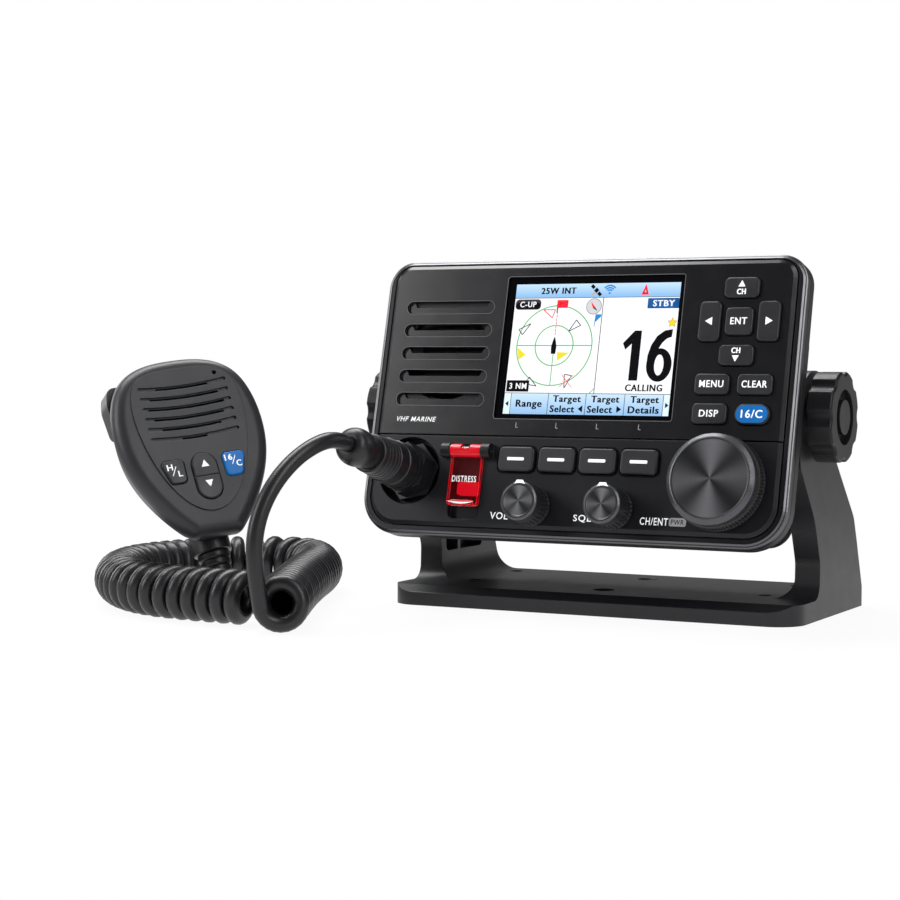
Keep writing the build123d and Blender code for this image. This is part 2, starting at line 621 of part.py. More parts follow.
with BuildPart(face) as case_gasket:
    slab(face, panel_shape(GASKET_INSET), band_front, -FRONT_DEPTH)
    slab(face, panel_shape(BODY_WALL), band_front, -FRONT_DEPTH, Mode.SUBTRACT)
case_gasket.part.label = "case_gasket"
export_step(case_gasket.part, "parts/case_gasket.step")

# Front shell -----------------------------------------------------------------
recess_shape = rounded(GUARD_X - RECESS_WIDTH / 2, GUARD_X + RECESS_WIDTH / 2,
                       RECESS_BOTTOM_Y, RECESS_TOP_Y, 3.0, 0.5)
screw_posts = [(x * CASE_SCREW_X / 2, y * CASE_SCREW_Y / 2) for x in (-1, 1) for y in (-1, 1)]

with BuildPart(face) as front_case:
    slab(face, panel_shape(), -FRONT_DEPTH, -RING_DROP)
    fillet(front_case.faces().sort_by(facing)[-1].edges(), PANEL_EDGE_ROUND)
    slab(face, all_fascia, -FASCIA_THICK, 0, Mode.SUBTRACT)
    slab(face, fascia_shape, -FASCIA_THICK, 0)
    low_face = front_case.faces().sort_by(facing)[-1]
    chamfer(low_face.edges(), BEVEL_WIDE, BEVEL_DEEP, reference=low_face)
    slab(face, all_fascia & above_split, -FASCIA_THICK, 0, Mode.SUBTRACT)
    slab(face, disc(SOCKET_X, SOCKET_Y, SOCKET_WELL_RADIUS + SOCKET_WELL_WALL),
         -SOCKET_WELL_DEPTH - SOCKET_WELL_WALL, -FRONT_DEPTH)
    slab(face, disc(SOCKET_X, SOCKET_Y, SOCKET_WELL_RADIUS), -SOCKET_WELL_DEPTH, 0, Mode.SUBTRACT)
    slab(face, disc(SOCKET_X, SOCKET_Y, SOCKET_SLEEVE_RADIUS + SEAT),
         -SOCKET_WELL_DEPTH - SOCKET_WELL_WALL, 0, Mode.SUBTRACT)
    slab(face, recess_shape, -RECESS_DEPTH, 0, Mode.SUBTRACT)
    for side in (-1, 1):
        hub = face.location * Location((GUARD_X + side * (KNUCKLE_WIDTH / 2 + SEAT), HINGE_Y, HINGE_RISE))
        hub_plane = Plane(hub * Location((0, 0, 0), (0, 90 * side, 0)))
        with BuildSketch(hub_plane):
            Circle(GUARD_BOSS_RADIUS)
            with Locations((side * HINGE_RISE / 2 + side * 0.5, 0)):
                Rectangle(HINGE_RISE + 1, 2 * GUARD_BOSS_RADIUS)
            Circle(GUARD_PIN_RADIUS, mode=Mode.SUBTRACT)
        extrude(amount=GUARD_BOSS_WIDTH)
    slab(face, block(WINDOW_X, WINDOW_Y, display_width + 2 * FIT, display_height + 2 * FIT),
         -FRONT_DEPTH, -FASCIA_THICK, Mode.SUBTRACT)
    slab(face, disc(SLOT_X, SLOT_TOP_Y - 2 * SLOT_PITCH, SPEAKER_RADIUS - 1),
         -FRONT_DEPTH, -FASCIA_THICK, Mode.SUBTRACT)
    for name, place in {**panel_keys, **softkeys}.items():
        slab(face, opening(name, place, GUIDE), -FRONT_DEPTH, 0, Mode.SUBTRACT)
    slab(face, block(GUARD_X, BUTTON_Y, BUTTON[0] + 2 * GUIDE, BUTTON[1] + 2 * GUIDE, 0.8),
         -FRONT_DEPTH, 0, Mode.SUBTRACT)
    for x, y in ((VOLUME_X, SMALL_KNOB_Y), (SQUELCH_X, SMALL_KNOB_Y), (DIAL_X, DIAL_Y)):
        slab(face, disc(x, y, SHAFT_RADIUS + RUN), -FRONT_DEPTH, 0, Mode.SUBTRACT)
    with BuildSketch(face.offset(-BAND_DEPTH + SHOULDER_WALL + SEAT)):
        with Locations(*screw_posts):
            Circle(POST_RADIUS)
    extrude(amount=BAND_DEPTH - SHOULDER_WALL - SEAT - FRONT_DEPTH)
    with BuildSketch(face.offset(-BAND_DEPTH)):
        with Locations(*screw_posts):
            Circle(CASE_SCREW_RADIUS)
    extrude(amount=BAND_DEPTH - FASCIA_THICK - 1, mode=Mode.SUBTRACT)
front_case.part.label = "front_case"
export_step(front_case.part, "parts/front_case.step")

with BuildPart(face) as case_screws:
    with BuildSketch(face.offset(-BAND_DEPTH)):
        with Locations(*screw_posts):
            Circle(CASE_SCREW_RADIUS - RUN)
    extrude(amount=BAND_DEPTH - FASCIA_THICK - 1.5)
    with BuildSketch(face.offset(-BAND_DEPTH - CASE_SCREW_HEAD)):
        with Locations(*screw_posts):
            Circle(CASE_SCREW_HEAD_RADIUS)
    extrude(amount=CASE_SCREW_HEAD)
case_screws.part.label = "case_screws"
export_step(case_screws.part, "parts/case_screws.step")

# Upper fascia, lens and display ----------------------------------------------
with BuildPart(face) as upper_fascia:
    slab(face, fascia_shape, -FASCIA_THICK + SEAT / 2, 0)
    top_face = upper_fascia.faces().sort_by(facing)[-1]
    chamfer(top_face.edges(), BEVEL_WIDE, BEVEL_DEEP, reference=top_face)
    slab(face, below_split, -FASCIA_THICK, 0, Mode.SUBTRACT)
    slab(face, window_shape, -FASCIA_THICK, 0, Mode.SUBTRACT)
    for row in range(SLOT_COUNT):
        slot_y = SLOT_TOP_Y - row * SLOT_PITCH
        slab(face, block(SLOT_X, slot_y, SLOT_LENGTH, SLOT_HEIGHT, SLOT_HEIGHT / 2 - 0.01),
             -SLOT_DEPTH, 0, Mode.SUBTRACT)
        mouth_y = slot_y + SLOT_HEIGHT / 2 - SLOT_MOUTH_HEIGHT / 2
        with BuildSketch(Plane.XY, mode=Mode.PRIVATE) as mouth:
            with Locations((SLOT_X, mouth_y)):
                Trapezoid(SLOT_MOUTH_LENGTH, SLOT_MOUTH_HEIGHT, 60, rotation=180)
        slab(face, mouth.sketch, -FASCIA_THICK, 0, Mode.SUBTRACT)
    for name, place in panel_keys.items():
        slab(face, opening(name, place, GUIDE), -FASCIA_THICK, 0, Mode.SUBTRACT)
upper_fascia.part.label = "upper_fascia"
export_step(upper_fascia.part, "parts/upper_fascia.step")

lens_back = -LENS_DROP - LENS_THICK
with BuildPart(face) as display_lens:
    slab(face, block(WINDOW_X, WINDOW_Y, WINDOW_WIDTH - 2 * FIT, WINDOW_HEIGHT - 2 * FIT, 0.8),
         lens_back, -LENS_DROP)
display_lens.part.label = "display_lens"
export_step(display_lens.part, "parts/display_lens.step")

with BuildPart(face) as lcd_module:
    slab(face, block(WINDOW_X, WINDOW_Y, display_width, display_height, 1.0), display_back, display_front)
lcd_module.part.label = "lcd_module"
export_step(lcd_module.part, "parts/lcd_module.step")

# Speaker and boards ----------------------------------------------------------
with BuildPart(face) as speaker:
    slab(face, disc(SLOT_X, speaker_y, SPEAKER_RADIUS), speaker_front - SPEAKER_RIM, speaker_front)
    with BuildSketch(face.offset(speaker_front)):
        with Locations((SLOT_X, speaker_y)):
            Circle(SPEAKER_RADIUS - 2)
    extrude(amount=-SPEAKER_RIM + 1.2, taper=55, mode=Mode.SUBTRACT)
    slab(face, disc(SLOT_X, speaker_y, MAGNET_RADIUS), magnet_back, speaker_front - SPEAKER_RIM)
speaker.part.label = "speaker"
export_step(speaker.part, "parts/speaker.step")

with BuildPart(face) as front_board:
    slab(face, panel_shape(BODY_WALL + BOARD_INSET), board_back, board_front)
    slab(face, disc(SLOT_X, speaker_y, SPEAKER_RADIUS + BOARD_PLAY), board_back, board_front, Mode.SUBTRACT)
    slab(face, disc(SOCKET_X, SOCKET_Y, SOCKET_WELL_RADIUS + SOCKET_WELL_WALL + BOARD_PLAY),
         board_back, board_front, Mode.SUBTRACT)
    for x, y in controls:
        slab(face, disc(x, y, SHAFT_RADIUS + BOARD_PLAY), board_back, board_front, Mode.SUBTRACT)
    with BuildSketch(face.offset(board_back)):
        with Locations(*screw_posts):
            Circle(POST_RADIUS + BOARD_PLAY)
    extrude(amount=BOARD_THICK, mode=Mode.SUBTRACT)
front_board.part.label = "front_board"
export_step(front_board.part, "parts/front_board.step")

with BuildPart(face) as main_board:
    slab(face, block(0, 0, board_width, board_height, BOARD_CORNER), -BOARD_BACK_DEPTH - BOARD_THICK,
         -BOARD_BACK_DEPTH)
    for x, y, width, height, rise in BOARD_PARTS:
        slab(face, block(x, y, width, height), -BOARD_BACK_DEPTH, -BOARD_BACK_DEPTH + rise)
main_board.part.label = "main_board"
export_step(main_board.part, "parts/main_board.step")

# Keys ------------------------------------------------------------------------
flange_front = -FRONT_DEPTH - SEAT
flange_back = flange_front - KEY_FLANGE_THICK
for name, place in {**panel_keys, **softkeys}.items():
    with BuildPart(face) as key:
        slab(face, opening(name, place, 0), flange_back, KEY_RISE)
        fillet(key.faces().sort_by(facing)[-1].edges(), KEY_ROUND)
        slab(face, opening(name, place, KEY_FLANGE), flange_back, flange_front)
    key.part.label = name
    export_step(key.part, f"parts/{name}.step")

# Distress guard and button ---------------------------------------------------
hinge = Plane(face.location * Location((GUARD_X, HINGE_Y, HINGE_RISE), (0, 90, 0)))
guard_back = GUARD_GAP
with BuildPart(face) as distress_cover:
    plate = rounded(GUARD_X - GUARD_WIDTH / 2, GUARD_X + GUARD_WIDTH / 2, GUARD_BOTTOM_Y,
                    GUARD_TOP_Y, 1.5, 0.4)
    slab(face, plate, guard_back, guard_back + GUARD_THICK)
    neck = block(GUARD_X, (GUARD_TOP_Y + HINGE_Y - NECK_LAP) / 2, KNUCKLE_WIDTH,
                 HINGE_Y - GUARD_TOP_Y + NECK_LAP)
    slab(face, neck, guard_back, guard_back + GUARD_THICK)
    with BuildSketch(hinge.offset(-KNUCKLE_WIDTH / 2)):
        Circle(KNUCKLE_RADIUS)
    extrude(amount=KNUCKLE_WIDTH)
    lip = block(GUARD_X, GUARD_BOTTOM_Y + GUARD_LIP / 2, GUARD_WIDTH - 2 * GUARD_LIP, GUARD_LIP, 0.6)
    slab(face, lip, guard_back, guard_back + GUARD_THICK + GUARD_LIP_RISE)
    with BuildSketch(hinge.offset(-KNUCKLE_WIDTH / 2)):
        Circle(GUARD_PIN_RADIUS + RUN)
    extrude(amount=KNUCKLE_WIDTH, mode=Mode.SUBTRACT)
    with BuildSketch(hinge.offset(-NOTCH_WIDTH / 2)):
        Circle(KNUCKLE_RADIUS + 0.01)
    extrude(amount=NOTCH_WIDTH, mode=Mode.SUBTRACT)
distress_cover.part.label = "distress_cover"
export_step(distress_cover.part, "parts/distress_cover.step")

pin_length = KNUCKLE_WIDTH + 2 * SEAT + 2 * GUARD_BOSS_WIDTH - 2 * PIN_END_DEPTH
with BuildPart(hinge) as distress_pin:
    with BuildSketch(hinge.offset(-pin_length / 2)):
        Circle(GUARD_PIN_RADIUS - 0.01)
    extrude(amount=pin_length)
distress_pin.part.label = "distress_pin"
export_step(distress_pin.part, "parts/distress_pin.step")

spring_pitch = (NOTCH_WIDTH - 4 * SPRING_WIRE) / SPRING_TURNS
with BuildPart(hinge) as distress_spring:
    spring_start = hinge.offset(-spring_pitch * SPRING_TURNS / 2).origin
    with BuildLine() as coil_line:
        Helix(spring_pitch, spring_pitch * SPRING_TURNS, SPRING_RADIUS, center=spring_start,
              direction=hinge.z_dir)
    with BuildSketch(Plane(coil_line.line @ 0, z_dir=coil_line.line % 0)):
        Circle(SPRING_WIRE)
    sweep(path=coil_line.line)
distress_spring.part.label = "distress_spring"
export_step(distress_spring.part, "parts/distress_spring.step")

with BuildPart(face) as distress_button:
    slab(face, block(GUARD_X, BUTTON_Y, BUTTON[0], BUTTON[1], 0.6), flange_back, -BUTTON_DROP)
    fillet(distress_button.faces().sort_by(facing)[-1].edges(), 0.4)
    slab(face, block(GUARD_X, BUTTON_Y, BUTTON[0] + 2 * BUTTON_FLANGE, BUTTON[1] + 2 * BUTTON_FLANGE, 1.0),
         flange_back, flange_front)
distress_button.part.label = "distress_button"
export_step(distress_button.part, "parts/distress_button.step")

# Volume and squelch knobs ----------------------------------------------------
for name, knob_x in (("volume", VOLUME_X), ("squelch", SQUELCH_X)):
    with BuildPart(face) as small_knob:
        slab(face, disc(knob_x, SMALL_KNOB_Y, SMALL_SKIRT_RADIUS), KNOB_GAP, SMALL_SKIRT_FRONT)
        slab(face, disc(knob_x, SMALL_KNOB_Y, SMALL_KNOB_RADIUS), SMALL_SKIRT_FRONT, SMALL_KNOB_FRONT)
        chamfer(small_knob.faces().sort_by(facing)[-1].edges(), 0.8)
        slab(face, disc(knob_x, SMALL_KNOB_Y, SHAFT_RADIUS), KNOB_GAP, KNOB_GAP + SHAFT_SOCKET,
             Mode.SUBTRACT)
    small_knob.part.label = f"{name}_knob"
    export_step(small_knob.part, f"parts/{name}_knob.step")

    with BuildPart(face) as small_shaft:
        slab(face, disc(knob_x, SMALL_KNOB_Y, SHAFT_RADIUS), shaft_back, KNOB_GAP + SHAFT_SOCKET)
    small_shaft.part.label = f"{name}_shaft"
    export_step(small_shaft.part, f"parts/{name}_shaft.step")

# Dial ------------------------------------------------------------------------
with BuildPart(face) as dial_knob:
    slab(face, disc(DIAL_X, DIAL_Y, DIAL_SKIRT_RADIUS), DIAL_GAP, DIAL_SKIRT_FRONT)
    slab(face, disc(DIAL_X, DIAL_Y, DIAL_RADIUS), DIAL_SKIRT_FRONT, DIAL_FRONT)
    dial_edge = dial_knob.faces().sort_by(facing)[-1]
    chamfer(dial_edge.edges(), DIAL_RADIUS - DIAL_FACE_RADIUS, 1.4, reference=dial_edge)
    slab(face, disc(DIAL_X, DIAL_Y, SHAFT_RADIUS + RUN), DIAL_GAP,
         DIAL_GAP + SHAFT_SOCKET + DIAL_TRAVEL + SEAT, Mode.SUBTRACT)
dial_knob.part.label = "dial_knob"
export_step(dial_knob.part, "parts/dial_knob.step")

with BuildPart(face) as dial_shaft:
    slab(face, disc(DIAL_X, DIAL_Y, SHAFT_RADIUS), shaft_back, DIAL_GAP + SHAFT_SOCKET)
dial_shaft.part.label = "dial_shaft"
export_step(dial_shaft.part, "parts/dial_shaft.step")

with BuildPart(face) as encoders:
    with BuildSketch(face.offset(shaft_back - SEAT)):
        with Locations(*controls):
            Rectangle(ENCODER, ENCODER)
    extrude(amount=-ENCODER_DEPTH)
encoders.part.label = "encoders"
export_step(encoders.part, "parts/encoders.step")

# Microphone socket, plug and boot --------------------------------------------
well_floor = -SOCKET_WELL_DEPTH
sleeve_back = well_floor - SOCKET_WELL_WALL - SEAT
with BuildPart(face) as mic_socket:
    slab(face, disc(SOCKET_X, SOCKET_Y, SOCKET_SLEEVE_RADIUS), sleeve_back, SOCKET_SLEEVE_FRONT)
    slab(face, hexagon(SOCKET_X, SOCKET_Y, SOCKET_NUT, SOCKET_NUT_TURN), well_floor,
         well_floor + SOCKET_NUT_THICK)
    slab(face, disc(SOCKET_X, SOCKET_Y, SOCKET_BORE_RADIUS), well_floor + 1, SOCKET_SLEEVE_FRONT,
         Mode.SUBTRACT)
mic_socket.part.label = "mic_socket"
export_step(mic_socket.part, "parts/mic_socket.step")

with BuildPart(face) as coupling_ring:
    slab(face, hexagon(SOCKET_X, SOCKET_Y, RING_NUT, RING_NUT_TURN), RING_BACK, RING_FRONT - RING_COLLAR)
    slab(face, disc(SOCKET_X, SOCKET_Y, PLUG_BACK_RADIUS + 0.4), RING_FRONT - RING_COLLAR, RING_FRONT)
    slab(face, disc(SOCKET_X, SOCKET_Y, SOCKET_SLEEVE_RADIUS + RUN), RING_BACK, RING_FRONT,
         Mode.SUBTRACT)
coupling_ring.part.label = "coupling_ring"
export_step(coupling_ring.part, "parts/coupling_ring.step")

plug_axis = Plane(face.location * Location((SOCKET_X, SOCKET_Y, 0), (90, 0, 0)))
ridges = 4
ridge_pitch = 3.4
barrel_profile = [(0, PLUG_CORE_BACK), (PLUG_CORE_RADIUS, PLUG_CORE_BACK),
                  (PLUG_CORE_RADIUS, SOCKET_SLEEVE_FRONT + SEAT),
                  (SOCKET_SLEEVE_RADIUS - 0.2, SOCKET_SLEEVE_FRONT + SEAT),
                  (SOCKET_SLEEVE_RADIUS - 0.2, RING_FRONT + SEAT),
                  (PLUG_BACK_RADIUS, RING_FRONT + SEAT), (PLUG_BACK_RADIUS, RING_FRONT + 6)]
for ridge in range(ridges):
    ridge_start = RING_FRONT + 7 + ridge * ridge_pitch
    ridge_radius = PLUG_BACK_RADIUS - 0.2 * (ridge + 1)
    barrel_profile += [(ridge_radius - 0.6, ridge_start), (ridge_radius, ridge_start + 0.5),
                       (ridge_radius, ridge_start + 2.4)]
barrel_profile += [(PLUG_FRONT_RADIUS, RING_FRONT + 7 + ridges * ridge_pitch),
                   (PLUG_FRONT_RADIUS, PLUG_END), (0, PLUG_END)]
with BuildPart(plug_axis) as mic_plug:
    with BuildSketch(plug_axis):
        with BuildLine():
            Polyline(*[(radius, height) for radius, height in barrel_profile], close=True)
        make_face()
    revolve(axis=Axis(plug_axis.origin, face.z_dir))
mic_plug.part.label = "mic_plug"
export_step(mic_plug.part, "parts/mic_plug.step")

with BuildPart(plug_axis) as plug_boot:
    with BuildSketch(plug_axis):
        with BuildLine():
            Line((0, PLUG_END), (BOOT_NECK_RADIUS, PLUG_END))
            Spline((BOOT_NECK_RADIUS, PLUG_END), (BOOT_RADIUS, BOOT_WIDEST - 1.5),
                   (BOOT_END_RADIUS, BOOT_END), tangents=[(0, 1), (-1, 0.35)])
            Line((BOOT_END_RADIUS, BOOT_END), (0, BOOT_END))
            Line((0, BOOT_END), (0, PLUG_END))
        make_face()
    revolve(axis=Axis(plug_axis.origin, face.z_dir))
plug_boot.part.label = "plug_boot"
export_step(plug_boot.part, "parts/plug_boot.step")

# Connectors at the back ------------------------------------------------------
with BuildPart(face) as antenna_socket:
    slab(face, disc(ANTENNA_X, CONNECTOR_Y, ANTENNA_RADIUS - 2 - SEAT), -BODY_DEPTH, -BODY_DEPTH + BODY_WALL)
    slab(face, block(ANTENNA_X, CONNECTOR_Y, 2 * ANTENNA_RADIUS + 4, 2 * ANTENNA_RADIUS + 4, 1.5),
         -BODY_DEPTH - 2 - SEAT, -BODY_DEPTH - SEAT)
    slab(face, disc(ANTENNA_X, CONNECTOR_Y, ANTENNA_RADIUS - 2 - SEAT), -BODY_DEPTH - SEAT, -BODY_DEPTH)
    slab(face, disc(ANTENNA_X, CONNECTOR_Y, ANTENNA_RADIUS), -BODY_DEPTH - ANTENNA_LENGTH, -BODY_DEPTH - 2)
    slab(face, disc(ANTENNA_X, CONNECTOR_Y, ANTENNA_RADIUS - 2.5), -BODY_DEPTH - ANTENNA_LENGTH,
         -BODY_DEPTH - ANTENNA_LENGTH + 1.5, Mode.SUBTRACT)
antenna_socket.part.label = "antenna_socket"
export_step(antenna_socket.part, "parts/antenna_socket.step")

with BuildPart(face) as rear_sockets:
    for row in range(3):
        socket_y = CONNECTOR_Y - row * DATA_PITCH
        slab(face, disc(POWER_X, socket_y, DATA_RADIUS - 2 - SEAT), -BODY_DEPTH - SEAT,
             -BODY_DEPTH + BODY_WALL)
        slab(face, disc(POWER_X, socket_y, DATA_RADIUS + 2.5), -BODY_DEPTH - 2 - SEAT, -BODY_DEPTH - SEAT)
        slab(face, disc(POWER_X, socket_y, DATA_RADIUS), -BODY_DEPTH - DATA_LENGTH, -BODY_DEPTH - 2)
        slab(face, disc(POWER_X, socket_y, DATA_RADIUS - 1.5), -BODY_DEPTH - DATA_LENGTH,
             -BODY_DEPTH - DATA_LENGTH + 1.5, Mode.SUBTRACT)
rear_sockets.part.label = "rear_sockets"
export_step(rear_sockets.part, "parts/rear_sockets.step")


# Hand microphone -------------------------------------------------------------
def drawn_in(profile, inset):
    """Half a shape's points moved inwards, each one square to the line between its neighbours."""
    mirrored = (-profile[1][0], profile[1][1])
    moved = []
    for before, here, after in zip([mirrored, *profile], profile, [*profile[1:], profile[-1]]):
        step = Vector(after[0] - before[0], after[1] - before[1]).normalized()
        moved.append((here[0] + inset * step.Y, here[1] - inset * step.X))
    moved[-1] = (moved[-1][0], profile[-1][1] + inset)
    return moved


def egg(profile, corner=0.0):
    """A shape with equal sides, rounded at the top and flat at its lower end."""
    left = [(-half, height) for half, height in reversed(profile[1:])]
    with BuildSketch(Plane.XY, mode=Mode.PRIVATE) as shape:
        with BuildLine():
            Spline(*left, *profile)
            Line(profile[-1], left[0])
        make_face()
        if corner > 0:
            fillet(shape.vertices().group_by(Axis.Y)[0], corner)
    return shape.sketch


def smile(height, half, thick):
    """A narrow slot that bends up towards its ends."""
    rise = GRIP_SLOT_BEND - math.sqrt(GRIP_SLOT_BEND ** 2 - half ** 2)
    with BuildSketch(Plane.XY, mode=Mode.PRIVATE) as shape:
        with BuildLine(mode=Mode.PRIVATE) as bow:
            ThreePointArc((-half, height + rise), (0, height), (half, height + rise))
        SlotArc(bow.edge(), thick)
    return shape.sketch


def side_key(side, extra=0.0):
    """The outline of the key to the left or right of the rocker."""
    top = GRIP_KEY_TOP / 2 + extra
    low = GRIP_KEY_LOW / 2 + extra
    rise = GRIP_KEY_HEIGHT / 2 + extra
    slant = side * GRIP_KEY_SLANT
    with BuildSketch(Plane.XY, mode=Mode.PRIVATE) as shape:
        with BuildLine():
            FilletPolyline((-top + slant, rise), (top + slant, rise), (low - slant, -rise),
                           (-low - slant, -rise), close=True, radius=2.0 + extra)
        make_face()
    return Pos(side * GRIP_KEY_X, GRIP_KEY_Y) * shape.sketch


def hull(profile, corner, reach, mode=Mode.ADD):
    """Fills an outline from the parting line back, with sides that round in."""
    sections = []
    for depth, share in GRIP_HULL:
        drawn = [(half * share, height * share) for half, height in profile]
        level = grip.offset(GRIP_PARTING - depth * reach / grip_depth)
        with BuildSketch(level, mode=Mode.PRIVATE) as section:
            add(egg(drawn, corner * share))
        sections.append(section.sketch)
    loft(sections, mode=mode)


grip_depth = GRIP_HULL[-1][0]
grip_back = GRIP_PARTING - grip_depth
inside_profile = drawn_in(GRIP_PROFILE, GRIP_WALL)
inside_corner = GRIP_HEEL_RADIUS - GRIP_WALL
grip_outline = egg(GRIP_PROFILE, GRIP_HEEL_RADIUS)
grip_inside = egg(inside_profile, inside_corner)
grip_facing = Axis(grip.origin, grip.z_dir)
grip_inner_front = GRIP_FRONT - GRIP_WALL
relief_face = Plane(grip.location * Location((0, 0, RELIEF_DEPTH), (90, 0, 0)))
rocker_shape = block(0, ROCKER_Y, ROCKER[0], ROCKER[1], ROCKER[0] / 2 - 0.05)

with BuildPart(grip) as handset_front:
    slab(grip, grip_outline, GRIP_PARTING, GRIP_FRONT)
    fillet(handset_front.faces().sort_by(grip_facing)[-1].edges(), GRIP_FRONT_ROUND)
    slab(grip, egg(INSET_PROFILE), GRIP_FRONT - 1.0, GRIP_FRONT + INSET_RISE)
    slab(grip, grip_inside, GRIP_PARTING, grip_inner_front, Mode.SUBTRACT)
    for row, slit in enumerate(GRIP_SLITS):
        slot_y = GRIP_SLOT_TOP - row * GRIP_SLOT_PITCH
        slab(grip, smile(slot_y, GRIP_SLOT_HALF, GRIP_SLOT_HEIGHT),
             GRIP_FRONT + INSET_RISE - GRIP_SLOT_DEPTH, GRIP_FRONT + INSET_RISE, Mode.SUBTRACT)
        slab(grip, smile(slot_y, slit / 2, GRIP_SLIT_HEIGHT),
             grip_inner_front, GRIP_FRONT + INSET_RISE, Mode.SUBTRACT)
    slab(grip, disc(*MIC_HOLE, MIC_HOLE_RADIUS), grip_inner_front, GRIP_FRONT + INSET_RISE,
         Mode.SUBTRACT)
    for side in (-1, 1):
        slab(grip, side_key(side, GUIDE), grip_inner_front, GRIP_FRONT + INSET_RISE, Mode.SUBTRACT)
    slab(grip, block(0, ROCKER_Y, ROCKER[0] + 2 * GUIDE, ROCKER[1] + 2 * GUIDE,
                     ROCKER[0] / 2 + GUIDE - 0.05),
         grip_inner_front, GRIP_FRONT + INSET_RISE, Mode.SUBTRACT)
    slab(relief_face, disc(0, 0, RELIEF_RADIUS + SEAT), RELIEF_START, RELIEF_COLLAR + 2, Mode.SUBTRACT)
handset_front.part.label = "handset_front"
export_step(handset_front.part, "parts/handset_front.step")

with BuildPart(grip) as handset_rear:
    hull(GRIP_PROFILE, GRIP_HEEL_RADIUS, grip_depth)
    hull(inside_profile, inside_corner, grip_depth - GRIP_WALL, Mode.SUBTRACT)
    ptt_mid = (PTT_BOTTOM + PTT_TOP) / 2
    slab(grip, block(-PTT_OUT, ptt_mid, 2 * (PTT_OUT - PTT_IN + PTT_FLANGE_THICK),
                     PTT_TOP - PTT_BOTTOM + 2 * GUIDE),
         PTT_BACK - GUIDE, PTT_FRONT + GUIDE, Mode.SUBTRACT)
    slab(relief_face, disc(0, 0, RELIEF_RADIUS + SEAT), RELIEF_START, RELIEF_COLLAR + 2, Mode.SUBTRACT)
handset_rear.part.label = "handset_rear"
export_step(handset_rear.part, "parts/handset_rear.step")

with BuildPart(grip) as ptt_button:
    with BuildSketch(Plane.XY, mode=Mode.PRIVATE) as ptt_shape:
        with BuildLine():
            FilletPolyline((-PTT_IN, PTT_BOTTOM), (-PTT_OUT + 1.0, PTT_BOTTOM), (-PTT_OUT, ptt_mid + 3),
                           (-PTT_OUT + 1.6, PTT_TOP), (-PTT_IN, PTT_TOP), close=True,
                           radius=[0, 3.0, 12, 3.5, 0])
        make_face()
    slab(grip, ptt_shape.sketch, PTT_BACK, PTT_FRONT)
    slab(grip, block(-PTT_IN + PTT_FLANGE_THICK / 2, (PTT_BOTTOM + PTT_FLANGE_TOP) / 2, PTT_FLANGE_THICK,
                     PTT_FLANGE_TOP - PTT_BOTTOM),
         PTT_BACK - PTT_FLANGE, PTT_FRONT + PTT_FLANGE)
ptt_button.part.label = "ptt_button"
export_step(ptt_button.part, "parts/ptt_button.step")

grip_flange = grip_inner_front - SEAT
grip_key_top = GRIP_FRONT + INSET_RISE + GRIP_KEY_RISE
for side, name in ((-1, "handset_key_hl"), (1, "handset_key_16")):
    with BuildPart(grip) as grip_key:
        slab(grip, side_key(side), grip_flange - KEY_FLANGE_THICK, grip_key_top)
        fillet(grip_key.faces().sort_by(grip_facing)[-1].edges(), KEY_ROUND)
        slab(grip, side_key(side, KEY_FLANGE), grip_flange - KEY_FLANGE_THICK, grip_flange)
    grip_key.part.label = name
    export_step(grip_key.part, f"parts/{name}.step")

with BuildPart(grip) as handset_rocker:
    slab(grip, rocker_shape, grip_flange - KEY_FLANGE_THICK, grip_key_top)
    fillet(handset_rocker.faces().sort_by(grip_facing)[-1].edges(), KEY_ROUND)
    slab(grip, block(0, ROCKER_Y, ROCKER[0], ROCKER_GROOVE), grip_key_top - ROCKER_GROOVE, grip_key_top,
         Mode.SUBTRACT)
    slab(grip, block(0, ROCKER_Y, ROCKER[0] + 2 * KEY_FLANGE, ROCKER_RIB),
         grip_flange - KEY_FLANGE_THICK - 0.2, grip_flange - 0.2)
handset_rocker.part.label = "handset_rocker"
export_step(handset_rocker.part, "parts/handset_rocker.step")

grip_board_front = grip_flange - KEY_FLANGE_THICK - GRIP_BOARD_GAP
with BuildPart(grip) as handset_board:
    slab(grip, block(0, GRIP_BOARD_Y, *GRIP_BOARD, BOARD_CORNER), grip_board_front - BOARD_THICK,
         grip_board_front)
handset_board.part.label = "handset_board"
export_step(handset_board.part, "parts/handset_board.step")

relief_axis = Plane(grip.location * Location((0, 0, RELIEF_DEPTH), (0, 0, 180)))
relief_step = (RELIEF_END - RELIEF_COLLAR) / RELIEF_RIBS
relief_taper = (RELIEF_RADIUS - 1.6 - RELIEF_END_RADIUS) / RELIEF_RIBS
relief_profile = [(0, RELIEF_START), (RELIEF_RADIUS, RELIEF_START), (RELIEF_RADIUS, RELIEF_COLLAR)]
for rib in range(RELIEF_RIBS):
    rib_radius = RELIEF_RADIUS - 1.0 - rib * relief_taper
    rib_start = RELIEF_COLLAR + rib * relief_step
    relief_profile += [(rib_radius - 0.6, rib_start + 0.6), (rib_radius, rib_start + 1.0),
                       (rib_radius - relief_taper / 2, rib_start + relief_step - 0.3)]
relief_profile += [(RELIEF_END_RADIUS, RELIEF_END), (0, RELIEF_END)]
with BuildPart(relief_axis) as strain_relief:
    with BuildSketch(relief_axis):
        with BuildLine():
            Polyline(*relief_profile, close=True)
        make_face()
    revolve(axis=Axis(relief_axis.origin, relief_axis.y_dir))
strain_relief.part.label = "strain_relief"
export_step(strain_relief.part, "parts/strain_relief.step")

